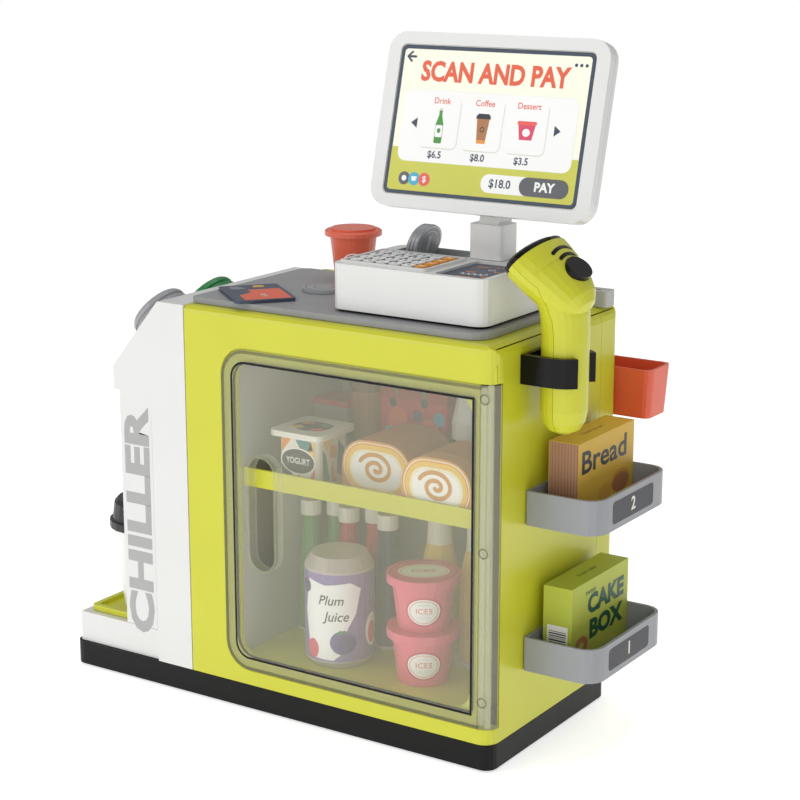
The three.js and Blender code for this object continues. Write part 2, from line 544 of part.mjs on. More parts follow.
// Skins a closed body over the sections; each is an oval in its own tilted plane.
function skinned(sections, shrink = 0, count = 24) {
  const positions = [];
  const index = [];
  for (const { x, z, tilt, across, thick } of sections) {
    for (let i = 0; i < count; i++) {
      const angle = 2 * Math.PI * i / count;
      const side = Math.cos(angle) * (across - shrink);
      const out = Math.sin(angle) * (thick - shrink);
      positions.push(x + out * Math.cos(tilt), GUN.y + side, z + out * Math.sin(tilt));
    }
  }
  const last = sections.length - 1;
  const low = (last + 1) * count;
  const high = low + 1;
  for (const end of [0, last]) positions.push(sections[end].x, GUN.y, sections[end].z);
  for (let i = 0; i < count; i++) {
    const next = (i + 1) % count;
    for (let s = 0; s < last; s++) {
      const [a, b] = [s * count + i, s * count + next];
      index.push(a, a + count, b, b, a + count, b + count);
    }
    index.push(low, i, next);
    index.push(high, last * count + next, last * count + i);
  }
  const geometry = new THREE.BufferGeometry();
  geometry.setAttribute('position', new THREE.Float32BufferAttribute(positions, 3));
  geometry.setIndex(index);
  return solid(geometry);
}

// Places a shape drawn in the head's own frame: x out of its upper face, y across, z along its axis.
const headPiece = (shape) => placed(shape, [0, -HEAD.lean, 0], [HEAD.x, GUN.y, HEAD.z]);

// Everything on one side of the seam that follows the middle of the handle and of the head.
function seamSide(side) {
  const middle = handleSections().slice(1, -2).map(({ x, z }) => [x, z]);
  const seam = [...middle, headPoint(0), headPoint(50)].map(([x, z]) => [x + side * GAP / 2, z]);
  const farX = GUN.x + side * 90;
  const low = GUN.bottom - 5;
  const high = seam[seam.length - 1][1] + 30;
  return prism('y', [[seam[0][0], low], ...seam, [farX, high], [farX, low]], GUN.y - 40, GUN.y + 40);
}

// The two halves of the scanner's moulded body.
function makeScannerShells() {
  const outside = join(skinned(handleSections()), skinned(headSections()));
  const hollow = join(skinned(handleSections().slice(1), HEAD.wall, 16),
    skinned(headSections().slice(1), HEAD.wall, 16));
  const mouth = headPiece(prism('z', rounded(-13, 13, -23, 23, 8, 3), 10, 40));
  const shell = cut(outside, hollow, mouth);
  const buttonHole = headPiece(ovalRod(BUTTON.across + GAP, BUTTON.along + GAP, BUTTON.foot, 30));
  add('scanner_outer_shell', cut(common(shell, seamSide(1)), buttonHole), lime);
  add('scanner_inner_shell', common(shell, seamSide(-1)), lime);
}

// The nose band and the window in it.
function makeScannerNose() {
  const end = headSections().pop();
  const bands = [[21.3, 0.5], [24, 0.8], [25.6, 3.2]];
  const nose = bands.map(([d, less]) =>
    section(headPoint(d), HEAD.lean, end.across - less, end.thick - less));
  const opening = headPiece(prism('z', rounded(-9, 9, -19, 19, 6, 3), 15, 40));
  add('scanner_nose', cut(skinned(nose), opening), black);
  const window = prism('z', rounded(-9 + GAP, 9 - GAP, -19 + GAP, 19 - GAP, 6 - GAP, 3), 21.6, 23.6);
  add('scanner_lens', headPiece(window), clear);
}

// The oval thumb button, held in by a flange behind the shell.
function makeScannerButton() {
  const { across, along, foot, top } = BUTTON;
  const flange = ovalRod(across + 0.9, along + 0.9, foot, foot + 2);
  add('scanner_button', headPiece(join(ovalRod(across, along, foot + 1, top), flange)), black);
}

// An oval stud square to the head's upper face, wider across the head than along it.
function ovalRod(across, along, from, to) {
  const segments = 24;
  const outline = [];
  for (let i = 0; i < segments; i++) {
    const angle = 2 * Math.PI * i / segments;
    outline.push([across * Math.cos(angle), BUTTON.d + along * Math.sin(angle)]);
  }
  return prism('x', outline, from, to);
}

// The black clip: a plate on the side wall with two sprung arms round the handle.
function makeClip() {
  const x0 = WIDTH + GAP;
  const inner = GUN.handle + GAP;
  const outer = inner + CLIP.arm;
  const sweep = (radius, side) => [-90, -75, -60, -45, -37].map((degrees) => {
    const angle = THREE.MathUtils.degToRad(degrees);
    return [GUN.x + radius * Math.cos(angle), GUN.y + side * radius * Math.sin(angle)];
  });
  const arm = (side) => {
    const outline = [[x0, GUN.y - side * outer], ...sweep(outer, side), ...sweep(inner, side).reverse(),
      [x0, GUN.y - side * inner]];
    return prism('z', side > 0 ? outline : outline.reverse(), CLIP.bottom, CLIP.top);
  };
  const plate = box(x0, x0 + CLIP.plate, GUN.y - outer, GUN.y + outer, CLIP.bottom, CLIP.top);
  add('scanner_clip', join(arm(1), arm(-1), plate), black);
}

// ---------------------------------------------------------------- side trays, bin and goods
function makeTrays() {
  for (const [name, z] of Object.entries(TRAY_LEVELS)) {
    const x0 = WIDTH + GAP;
    const x1 = WIDTH + TRAY.reach;
    const { front, back, height, wall, radius } = TRAY;
    const outer = prism('z', rounded(x0, x1, front, back, [2, radius, radius, 2]), z, z + height);
    const inside = rounded(x0 + wall, x1 - wall, front + wall, back - wall,
      [1, radius - wall, radius - wall, 1]);
    const inner = prism('z', inside, z + wall, z + height + 1);
    const tabs = TRAY_TABS.map((y) => box(WIDTH - 3.4, x0 + 1, y - 5, y + 5, z + 12.4, z + 15.6));
    add(`side_tray_${name}`, cut(join(outer, ...tabs), inner), grey);
  }
  const onFloor = (z) => z + TRAY.wall + GAP;
  add('food_box_upper', box(366, 388, 60, 138.5, onFloor(TRAY_LEVELS.upper), 212), yellow);
  add('food_box_lower', box(365.2, 386.6, 58, 138.5, onFloor(TRAY_LEVELS.lower), 113.6), leaf);
}

function makeBin() {
  const { left, right, front, back, bottom, top } = BIN;
  const level = (z, inset) => rounded(left + inset, right - inset, front + inset * 0.5, back - inset, 5, 3)
    .map((p) => [p.x, p.y, z]);
  const loft = (low, high) => {
    const n = low.length;
    const positions = [...low, ...high].flat();
    const index = [];
    for (let i = 0; i < n; i++) {
      const j = (i + 1) % n;
      index.push(i, j, n + i, j, n + j, n + i);
    }
    for (let i = 1; i < n - 1; i++) index.push(0, i + 1, i, n, n + i, n + i + 1);
    const geometry = new THREE.BufferGeometry();
    geometry.setAttribute('position', new THREE.Float32BufferAttribute(positions, 3));
    geometry.setIndex(index);
    return solid(geometry);
  };
  const outer = loft(level(bottom, 2), level(top, 0));
  const inner = loft(level(bottom + 2, 4.2), level(top + 1, 2));
  const hooks = BIN_HOOKS.map((x) => join(box(x - 4.5, x + 4.5, REAR - 4.4, front + 1, 230.1, 233),
    box(x - 4.5, x + 4.5, REAR - 4.4, REAR - WALL - GAP, 228, 233)));
  add('rear_bin', cut(join(outer, ...hooks), inner), coral);
}

function makeCardReader() {
  const block = prism('z', rounded(319, 360, 147, 160.5, 2, 2), CABINET_TOP + GAP, 294.8);
  add('card_reader', cut(block, box(323, 353, 151.8, 154.6, 286, 298)), paleGrey);
}

function makeCard() {
  const card = prism('z', rounded(-28, 28, -21, 21, 3, 3), 0, 2);
  add('pay_card', placed(card, [0, 0, -39], [149, 35, COUNTER.top + GAP]), navy);
}

function makeCups() {
  const wall = 1.6;
  const z = COUNTER.top + GAP;
  const cup = turned([[0, 0], [13, 0], [17, 34], [17 - wall, 34], [13 - wall, wall], [0, wall]],
    172, 119, z, 28);
  add('play_cup', cup, brick);
  const lid = turned([[0, 36.4], [14.6, 36.4], [14.6, 34.4], [17.4, 34.4], [17.4, 32.6], [20.5, 32.6],
    [20.5, 35.6], [19.5, 36.5], [15.8, 36.5], [15.8, 38], [0, 38]], 172, 119, z, 28);
  add('cup_lid', lid, brick);
  const drink = turned([[0, 0], [18.5, 0], [25.5, 61], [27.8, 61.5], [27.8, 67], [25.5, 68], [24, 80],
    [21.5, 83], [0, 83]], 40, 40, BAY.floor + 2.1 + GAP, 24);
  add('paper_cup', drink, white);
}

function makeGroceries() {
  const upper = SHELF.bottom + SHELF.thick + GAP;
  const lower = FLOOR_TOP + GAP;
  const tub = join(prism('z', rounded(176, 209.5, 21, 58, 5, 3), upper, upper + 34),
    prism('z', rounded(170.5, 213.5, 17, 62, 5, 3), upper + 33.5, upper + 37.5));
  add('yogurt_tub', tub, cream);
  const roll = (x0, x1, y0, y1, height) =>
    prism('y', rounded(x0, x1, upper, upper + height, [9, 9, 20, 20], 6), y0, y1);
  add('swiss_roll_1', roll(225, 281, 27, 80, 38.5), sponge);
  add('swiss_roll_2', roll(283, 337, 12, 60, 39.2), sponge);
  const can = turned([[0, 0], [20.5, 0], [24.4, 5], [24.4, 70], [19.5, 78.5], [0, 78.5]],
    218.3, 33, lower, 28);
  add('drink_can', can, violet);
  const pot = [[0, 0], [17.5, 0], [21.5, 31.5], [25.2, 32], [25.2, 38], [0, 38]];
  add('dessert_tub_1', turned(pot, 286.5, 34, lower, 28), pink);
  add('dessert_tub_2', turned(pot, 286.5, 34, lower + 38 + GAP, 28), pink);
}

// The back rows: drink bottles below and mixed goods above, each row moulded on one strip.
function makeBackRows() {
  const lower = FLOOR_TOP + GAP;
  const slim = [[0, 0], [9, 0], [9, 52], [6, 82], [6, 87], [7.6, 87], [7.6, 98], [0, 98]];
  const wide = [[0, 0], [13.5, 0], [13.5, 60], [9, 82], [8.5, 100], [0, 100]];
  let bottles = box(158.5, 312, 66, 88, lower, lower + 2);
  for (const [x, y] of [[167, 71], [183.5, 80], [200, 71], [216.5, 80], [233, 71]]) {
    bottles = join(bottles, turned(slim, x, y, lower, 16));
  }
  for (const x of [268, 300]) bottles = join(bottles, turned(wide, x, 84, lower, 20));
  add('bottle_row', bottles, cream);

  const upper = SHELF.bottom + SHELF.thick + GAP;
  const strip = box(158.5, 296, 86, 110, upper, upper + 2);
  const tub = box(159, 189, 86, 112, upper, upper + 44);
  const cup = turned([[0, 0], [9, 0], [12.5, 56], [13.5, 56], [13.5, 66], [0, 66]], 198, 98, upper, 20);
  const pouch = prism('y', [[214, upper], [266, upper], [268, upper + 62], [265, upper + 68],
    [215, upper + 68], [212, upper + 62]], 93, 102);
  const bottle = turned([[0, 0], [12, 0], [12, 42], [8, 60], [7, 72], [0, 72]], 283, 97, upper, 20);
  add('carton_row', join(strip, tub, cup, pouch, bottle), cream);
}

// ---------------------------------------------------------------- assembly
makePlinth();
makeCabinetShell();
makeRearCover();
makeLiner();
makeShelf();
makeCounter();
makeDispenserHousing();
makeNamePanel();
makeBayFrame();
makeLevers();
makeCaps();
makeDripTray();
makeDoor();
makeTill();
makeKeypad();
makeCoins();
makeDisplay();
makePost();
makeScannerShells();
makeScannerNose();
makeScannerButton();
makeClip();
makeTrays();
makeBin();
makeCardReader();
makeCard();
makeCups();
makeGroceries();
makeBackRows();

// The footprint runs from the plinth's left edge and the door's face to the far edges of the
// trays and the bin.
assembly.position.set(-(WIDTH + TRAY.reach) / 2, -(BIN.back + DOOR.face) / 2, FOOT_HEIGHT);

export default assembly;
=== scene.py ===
"""The looks of the toy shop counter: moulded plastics, clear door, printed labels, floor and light."""
import math

import bmesh
import bpy
from mathutils import Euler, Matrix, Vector
from mathutils.geometry import tessellate_polygon


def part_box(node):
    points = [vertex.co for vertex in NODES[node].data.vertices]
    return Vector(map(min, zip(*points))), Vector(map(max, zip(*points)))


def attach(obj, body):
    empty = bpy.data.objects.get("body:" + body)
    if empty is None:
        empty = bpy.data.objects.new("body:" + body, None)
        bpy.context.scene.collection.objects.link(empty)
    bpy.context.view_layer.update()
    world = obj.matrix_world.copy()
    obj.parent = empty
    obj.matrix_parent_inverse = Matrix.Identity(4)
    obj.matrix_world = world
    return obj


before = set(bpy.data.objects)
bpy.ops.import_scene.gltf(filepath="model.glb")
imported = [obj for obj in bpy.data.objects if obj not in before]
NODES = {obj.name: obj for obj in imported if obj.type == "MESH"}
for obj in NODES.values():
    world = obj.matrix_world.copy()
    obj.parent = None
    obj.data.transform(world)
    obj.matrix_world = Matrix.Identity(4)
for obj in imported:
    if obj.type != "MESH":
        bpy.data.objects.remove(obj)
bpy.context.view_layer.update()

# Millimetre coordinates start at the plinth's front left corner, on its underside.
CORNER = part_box("base_plinth")[0]
FOOT = 1.5


def at(x, y, z):
    """A point given in the plinth's millimetres, in the row frame."""
    return Vector((CORNER[0] + x / 1000, CORNER[1] + y / 1000, CORNER[2] + (z + FOOT) / 1000))


def mm(node):
    """A node's box in the plinth's millimetres: x0, x1, y0, y1, z0, z1."""
    low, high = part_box(node)
    out = []
    for k, extra in ((0, 0), (1, 0), (2, FOOT)):
        out += [(low[k] - CORNER[k]) * 1000 - extra, (high[k] - CORNER[k]) * 1000 - extra]
    return out


# ---------------------------------------------------------------- materials
def linear(red, green, blue):
    """A colour on the 0-255 scale as the linear values that a shader takes."""
    out = []
    for part in (red / 255, green / 255, blue / 255):
        out.append(part / 12.92 if part <= 0.04045 else ((part + 0.055) / 1.055) ** 2.4)
    return (*out, 1.0)


def new_shader(name):
    material = bpy.data.materials.new(name)
    material.use_nodes = True
    tree = material.node_tree
    place = tree.nodes.new("ShaderNodeTexCoord").outputs["Object"]
    return material, tree, tree.nodes["Principled BSDF"], place


def noise(tree, place, scale, detail=2.0):
    node = tree.nodes.new("ShaderNodeTexNoise")
    node.inputs["Scale"].default_value = scale
    node.inputs["Detail"].default_value = detail
    tree.links.new(place, node.inputs["Vector"])
    return node.outputs["Fac"]


def spread(tree, value, low, high):
    """Noise mapped to a range."""
    node = tree.nodes.new("ShaderNodeMapRange")
    node.inputs["From Min"].default_value = 0.3
    node.inputs["From Max"].default_value = 0.7
    node.inputs["To Min"].default_value = low
    node.inputs["To Max"].default_value = high
    tree.links.new(value, node.inputs["Value"])
    return node.outputs["Result"]


def surface(tree, bsdf, place, colour, rough, grain, vary):
    """Slow colour drift, uneven gloss and a fine moulded grain over a colour socket."""
    drift = spread(tree, noise(tree, place, 22.0, 4.0), 1 - vary, 1 + vary)
    scale = tree.nodes.new("ShaderNodeVectorMath")
    scale.operation = "SCALE"
    tree.links.new(colour, scale.inputs[0])
    tree.links.new(drift, scale.inputs["Scale"])
    tree.links.new(scale.outputs["Vector"], bsdf.inputs["Base Color"])
    gloss = spread(tree, noise(tree, place, 75.0, 3.0), max(rough - 0.015, 0.02), rough + 0.025)
    tree.links.new(gloss, bsdf.inputs["Roughness"])
    bump = tree.nodes.new("ShaderNodeBump")
    bump.inputs["Strength"].default_value = grain
    bump.inputs["Distance"].default_value = 0.0002
    tree.links.new(noise(tree, place, 1500.0, 2.0), bump.inputs["Height"])
    tree.links.new(bump.outputs["Normal"], bsdf.inputs["Normal"])


def plastic(name, colour, rough=0.32, grain=0.12, vary=0.02, metal=0.0, coat=0.0, alpha=1.0):
    material, tree, bsdf, place = new_shader(name)
    base = tree.nodes.new("ShaderNodeRGB")
    base.outputs[0].default_value = linear(*colour)
    surface(tree, bsdf, place, base.outputs[0], rough, grain, vary)
    bsdf.inputs["Metallic"].default_value = metal
    bsdf.inputs["Coat Weight"].default_value = coat
    bsdf.inputs["Coat Roughness"].default_value = 0.15
    bsdf.inputs["Alpha"].default_value = alpha
    return material


def coordinate(tree, place, axis):
    """One coordinate in the plinth's millimetres, as a socket."""
    split = tree.nodes.new("ShaderNodeSeparateXYZ")
    tree.links.new(place, split.inputs[0])
    node = tree.nodes.new("ShaderNodeMath")
    node.operation = "MULTIPLY_ADD"
    node.inputs[1].default_value = 1000
    node.inputs[2].default_value = -CORNER[axis] * 1000 - (FOOT if axis == 2 else 0)
    tree.links.new(split.outputs[axis], node.inputs[0])
    return node.outputs[0]


def steps(tree, value, bands):
    """Colours in bands along a value; bands are (from where, colour), lowest first."""
    low, high = bands[0][0], bands[-1][0] + 10
    scaled = tree.nodes.new("ShaderNodeMapRange")
    scaled.inputs["From Min"].default_value = low
    scaled.inputs["From Max"].default_value = high
    tree.links.new(value, scaled.inputs["Value"])
    ramp = tree.nodes.new("ShaderNodeValToRGB")
    ramp.color_ramp.interpolation = "CONSTANT"
    stops = ramp.color_ramp.elements
    while len(stops) > 1:
        stops.remove(stops[-1])
    for i, (start, colour) in enumerate(bands):
        place_on = (start - low) / (high - low)
        stop = stops[0] if i == 0 else stops.new(place_on)
        stop.position = place_on
        stop.color = linear(*colour)
    tree.links.new(scaled.outputs["Result"], ramp.inputs[0])
    return ramp.outputs["Color"]


def banded(name, axis, bands, rough=0.35, grain=0.12, vary=0.03, coat=0.0):
    material, tree, bsdf, place = new_shader(name)
    colour = steps(tree, coordinate(tree, place, axis), bands)
    surface(tree, bsdf, place, colour, rough, grain, vary)
    bsdf.inputs["Coat Weight"].default_value = coat
    return material


def columns(name, bands, tops, rough=0.3):
    """Bands along x whose tops, above a height that may change along x, have bands of their own."""
    material, tree, bsdf, place = new_shader(name)
    across = coordinate(tree, place, 0)
    height = coordinate(tree, place, 2)
    colour = steps(tree, across, bands)
    for left, right, bottom, top, paint in tops:
        inside = None
        for value, limit, kind in ((across, left, "GREATER_THAN"), (across, right, "LESS_THAN"),
                                   (height, bottom, "GREATER_THAN"), (height, top, "LESS_THAN")):
            test = tree.nodes.new("ShaderNodeMath")
            test.operation = kind
            test.inputs[1].default_value = limit
            tree.links.new(value, test.inputs[0])
            if inside is None:
                inside = test.outputs[0]
                continue
            both = tree.nodes.new("ShaderNodeMath")
            both.operation = "MULTIPLY"
            tree.links.new(inside, both.inputs[0])
            tree.links.new(test.outputs[0], both.inputs[1])
            inside = both.outputs[0]
        mix = tree.nodes.new("ShaderNodeMix")
        mix.data_type = "RGBA"
        tree.links.new(inside, mix.inputs[0])
        tree.links.new(colour, mix.inputs[6])
        mix.inputs[7].default_value = linear(*paint)
        colour = mix.outputs[2]
    surface(tree, bsdf, place, colour, rough, 0.1, 0.03)
    return material


LIME = (206, 206, 46)
WHITE = (226, 226, 224)
NAVY = (58, 70, 88)
CORAL = (233, 96, 62)

lime = plastic("lime_moulded", LIME, 0.34, 0.1, 0.018, coat=0.15)
white = plastic("white_moulded", WHITE, 0.3, 0.08, 0.01, coat=0.2)
grey = plastic("grey_satin", (150, 151, 153), 0.42, 0.35, 0.03)
tray_grey = plastic("tray_grey", (150, 152, 156), 0.38, 0.25, 0.03)
pale = plastic("lining_grey", (188, 189, 182), 0.5, 0.2, 0.03)
black = plastic("black_gloss", (7, 7, 8), 0.16, 0.05, 0.05)
black_satin = plastic("black_satin", (11, 11, 12), 0.42, 0.3, 0.05)
DARK_SHINE = 0.22
for dark in (black, black_satin):
    dark.node_tree.nodes["Principled BSDF"].inputs["Specular IOR Level"].default_value = DARK_SHINE
navy = plastic("navy_satin", NAVY, 0.4, 0.2, 0.03)
coral = plastic("coral_moulded", (232, 98, 66), 0.36, 0.1, 0.02, coat=0.1)
brick = plastic("brick_moulded", (230, 104, 74), 0.34, 0.1, 0.02, coat=0.1)
green = plastic("green_moulded", (22, 128, 62), 0.32, 0.1, 0.03, coat=0.15)
orange = plastic("orange_rubber", (245, 160, 52), 0.45, 0.2, 0.03)
silver = plastic("coin_silver", (158, 160, 163), 0.34, 0.3, 0.06, metal=0.2)
# Painted highlight: a lighter copy of the coin silver, used for the coin's raised relief as if it were lit.
coin_highlight = plastic("coin_relief_highlight", (205, 207, 209), 0.28, 0.2, 0.04, metal=0.2)
steel = plastic("pin_steel", (178, 181, 184), 0.25, 0.2, 0.03, metal=1.0)
clear_door = plastic("door_clear", (220, 220, 196), 0.08, 0.0, 0.02, alpha=0.15)
clear_bar = plastic("hinge_clear", (232, 234, 186), 0.1, 0.0, 0.03, alpha=0.42)
lens = plastic("scanner_window", (26, 28, 32), 0.06, 0.02, 0.03)
cream = plastic("screen_cream", (252, 252, 232), 0.3, 0.05, 0.006)
keypad = banded("keypad_rubber", 2, [(300, NAVY), (321.6, (244, 244, 243))], 0.45, 0.2, 0.02)
caps_grey = plastic("cap_grey", (158, 160, 162), 0.36, 0.25, 0.03)
paper_cup = banded("paper_cup_print", 2, [(0, (244, 244, 242)), (103.2, (34, 34, 36))], 0.4)
can_print = banded("can_print", 2, [(0, (176, 170, 168)), (44.5, (139, 118, 172)), (107, (196, 184, 178))],
                   0.3, 0.1, 0.03, coat=0.2)
tub_print = banded("yogurt_print", 2, [(0, (238, 236, 226)), (196.7, (240, 238, 226))], 0.4)
pink = plastic("pink_moulded", (232, 104, 128), 0.35, 0.1, 0.03, coat=0.1)
pink_deep = plastic("pink_rim", (206, 58, 84), 0.35, 0.1, 0.03)
crust = banded("cake_crust", 1, [(0, (226, 158, 88)), (26, (208, 140, 78))], 0.6, 0.5, 0.08)
yellow_box = plastic("carton_yellow", (226, 184, 66), 0.5, 0.15, 0.03)
green_box = plastic("carton_green", (190, 200, 74), 0.5, 0.15, 0.03)
bottles = columns("bottle_colours",
                  [(150, (92, 148, 74)), (191.5, (196, 52, 56)), (224.5, (62, 62, 84)),
                   (250, (232, 200, 96))],
                  [(150, 250, 126, 150, (236, 234, 226)), (250, 320, 119, 160, (244, 242, 234)),
                   (150, 320, 30, 41, (214, 214, 208))])
cartons = columns("carton_colours",
                  [(150, (150, 140, 138)), (191, (168, 122, 92)), (211.6, (206, 48, 78)),
                   (268.6, (240, 240, 234))],
                  [(150, 191, 203, 230, (196, 62, 70)), (184, 211.6, 216, 232, (118, 82, 62)),
                   (269, 300, 160, 193, (58, 58, 70)), (212, 268.5, 214, 232, (176, 40, 66))])

PAINT = {
    "base_plinth": black_satin, "cabinet_shell": lime, "rear_cover": lime, "cabinet_liner": pale,
    "cabinet_floor": lime, "middle_shelf": lime, "counter_top": grey, "dispenser_housing": white,
    "name_panel": white, "bay_frame": lime, "pour_lever_1": black, "pour_lever_2": black,
    "tank_cap_grey": caps_grey, "tank_cap_green": green, "drip_tray": lime, "door_panel": clear_door,
    "door_gasket": black, "hinge_bar": clear_bar, "till_base": black, "till_body": white,
    "slate_pad": navy, "coin_tray": grey, "key_mat": keypad, "push_key_1": orange,
    "push_key_2": orange, "push_key_3": orange, "push_key_4": orange, "coin_1": silver,
    "coin_2": silver, "coin_3": silver, "loose_token": caps_grey, "display_bezel": white,
    "screen_sheet": cream, "display_back": white, "display_post": white, "tilt_pin": steel,
    "scanner_outer_shell": lime, "scanner_inner_shell": lime, "scanner_nose": black,
    "scanner_lens": lens, "scanner_button": black, "scanner_clip": black,
    "side_tray_lower": tray_grey, "side_tray_upper": tray_grey, "food_box_upper": yellow_box,
    "food_box_lower": green_box, "rear_bin": coral, "card_reader": pale, "pay_card": navy,
    "play_cup": brick, "cup_lid": brick, "paper_cup": paper_cup, "yogurt_tub": tub_print,
    "swiss_roll_1": crust, "swiss_roll_2": crust, "drink_can": can_print, "dessert_tub_1": pink,
    "dessert_tub_2": pink, "bottle_row": bottles, "carton_row": cartons,
}
EDGES = {"cabinet_shell": 1.0, "rear_cover": 1.0, "dispenser_housing": 1.0, "till_body": 1.0,
         "display_bezel": 1.6, "display_back": 1.6, "base_plinth": 1.0, "door_panel": 0.3, "key_mat": 0.35,
         "coin_1": 0.35, "coin_2": 0.35, "coin_3": 0.35, "scanner_clip": 0.8, "display_post": 0.8}
FLOWING = ("scanner_outer_shell", "scanner_inner_shell", "scanner_nose")
EDGE_RADIUS = 0.45
BEVEL_ABOVE = math.radians(37)
FLAT_WITHIN = math.radians(0.5)
FLOWING_SHARP_ABOVE = math.radians(28)


def even_normals(node):
    even = node.modifiers.new("even_normals", "WEIGHTED_NORMAL")
    even.keep_sharp = True


def dress(name, node):
    """Gives a CAD node its material, smooth shading and softly rounded edges."""
    node.data.materials.clear()
    node.data.materials.append(PAINT[name])
    node.data.shade_smooth()
    if name in FLOWING:
        node.data.set_sharp_from_angle(angle=FLOWING_SHARP_ABOVE)
        even_normals(node)
        return
    flat = node.modifiers.new("merge_flats", "DECIMATE")
    flat.decimate_type = "DISSOLVE"
    flat.angle_limit = FLAT_WITHIN
    bevel = node.modifiers.new("edge_radius", "BEVEL")
    bevel.width = EDGES.get(name, EDGE_RADIUS) / 1000
    bevel.segments = 2
    bevel.limit_method = "ANGLE"
    bevel.angle_limit = BEVEL_ABOVE
    bevel.harden_normals = True
    even_normals(node)


for node_name, node_object in NODES.items():
    dress(node_name, node_object)


# ---------------------------------------------------------------- printed artwork
def rounded(u0, u1, v0, v1, radius, count=6):
    """A rectangle with round corners, counter-clockwise."""
    points = []
    for cu, cv, quarter in ((u1 - radius, v1 - radius, 0), (u0 + radius, v1 - radius, 1),
                            (u0 + radius, v0 + radius, 2), (u1 - radius, v0 + radius, 3)):
        for i in range(count + 1):
            angle = (quarter + i / count) * math.pi / 2
            points.append((cu + radius * math.cos(angle), cv + radius * math.sin(angle)))
    return points


def ellipse(u, v, a, b, count=36):
    return [(u + a * math.cos(2 * math.pi * i / count), v + b * math.sin(2 * math.pi * i / count))
            for i in range(count)]


def ribbon(path, width):
    """The outline of a stroke of even width along a path, with round ends."""
    left, right = [], []
    for i, (u, v) in enumerate(path):
        before, after = path[max(i - 1, 0)], path[min(i + 1, len(path) - 1)]
        du, dv = after[0] - before[0], after[1] - before[1]
        size = math.hypot(du, dv) or 1.0
        nu, nv = -dv / size * width / 2, du / size * width / 2
        left.append((u + nu, v + nv))
        right.append((u - nu, v - nv))

    def cap(centre, start):
        base = math.atan2(start[1] - centre[1], start[0] - centre[0])
        return [(centre[0] + width / 2 * math.cos(base - math.pi * k / 6),
                 centre[1] + width / 2 * math.sin(base - math.pi * k / 6)) for k in range(1, 6)]

    return left + cap(path[-1], left[-1]) + right[::-1] + cap(path[0], right[0])


# The directions along a face that the u and v of artwork follow.
FRONT = ((1, 0, 0), (0, 0, 1))
SIDE = ((0, 1, 0), (0, 0, 1))
TOP = ((1, 0, 0), (0, 1, 0))


def plane(origin, u, v):
    """Maps artwork onto a flat face; origin in millimetres, u and v along the face."""
    origin, u, v = Vector(origin), Vector(u).normalized(), Vector(v).normalized()
    out = u.cross(v)
    return lambda a, b, lift: at(*(origin + a * u + b * v + lift * out))


def drum(x, y, z, radius, slope=0.0, facing=-56.7):
    """Maps artwork round a cup or can: u is along the wall, v is up from z."""
    def where(a, b, lift):
        r = radius + slope * b
        angle = math.radians(facing) + a / radius
        return at(x + (r + lift) * math.cos(angle), y + (r + lift) * math.sin(angle), z + b)
    return where


CAPITALS = 0.73
SLIVER = 1e-9


class Artwork:
    """Flat shapes and words laid on one surface, kept as one mesh for each material."""

    def __init__(self, name, body, where, step=None):
        self.name, self.body, self.where, self.step = name, body, where, step
        self.parts = {}

    def _mesh(self, material):
        return self.parts.setdefault(material.name, (material, bmesh.new()))[1]

    def fill(self, material, outline, lift=0.06, holes=()):
        loops = [[Vector((u, v, 0)) for u, v in loop] for loop in (outline, *holes)]
        corners = [p for loop in loops for p in loop]
        piece = bmesh.new()
        verts = [piece.verts.new(p) for p in corners]
        for a, b, c in tessellate_polygon(loops):
            if (corners[b] - corners[a]).cross(corners[c] - corners[a]).length > SLIVER:
                face = piece.faces.new((verts[a], verts[b], verts[c]))
                face.normal_update()
                if face.normal.z < 0:
                    face.normal_flip()
        self._lay(material, piece, lift)

    def _lay(self, material, piece, lift):
        if self.step:
            us = [v.co.x for v in piece.verts]
            cut = math.floor(min(us) / self.step) * self.step
            while cut < max(us):
                parts = piece.verts[:] + piece.edges[:] + piece.faces[:]
                bmesh.ops.bisect_plane(piece, geom=parts, plane_co=(cut, 0, 0), plane_no=(1, 0, 0))
                cut += self.step
        target = self._mesh(material)
        made = {v: target.verts.new(self.where(v.co.x, v.co.y, lift)) for v in piece.verts}
        for face in piece.faces:
            target.faces.new([made[v] for v in face.verts])
        piece.free()

    def words(self, material, text, u, v, height, lift=0.08, squeeze=1.0, bold=0.0, slant=0.0):
        """One word or number centred at u, v with capitals of that height."""
        curve = bpy.data.curves.new("word", "FONT")
        curve.body = text
        curve.align_x = "CENTER"
        curve.align_y = "CENTER"
        curve.size = height / CAPITALS
        curve.offset = bold * curve.size
        curve.shear = slant
        curve.resolution_u = 3
        holder = bpy.data.objects.new("word", curve)
        bpy.context.scene.collection.objects.link(holder)
        bpy.context.view_layer.update()
        flat = bpy.data.meshes.new_from_object(holder)
        piece = bmesh.new()
        piece.from_mesh(flat)
        for vert in piece.verts:
            vert.co = (vert.co.x * squeeze + u, vert.co.y + v, 0)
        self._lay(material, piece, lift)
        bpy.data.objects.remove(holder)
        bpy.data.curves.remove(curve)
        bpy.data.meshes.remove(flat)

    def done(self):
        for i, (material, shape) in enumerate(self.parts.values()):
            data = bpy.data.meshes.new(f"{self.name}_{i + 1}")
            shape.to_mesh(data)
            shape.free()
            data.materials.append(material)
            piece = bpy.data.objects.new(data.name, data)
            bpy.context.scene.collection.objects.link(piece)
            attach(piece, self.body)


def ink(name, colour):
    return plastic(f"ink_{name}", colour, 0.4, 0.06, 0.015)


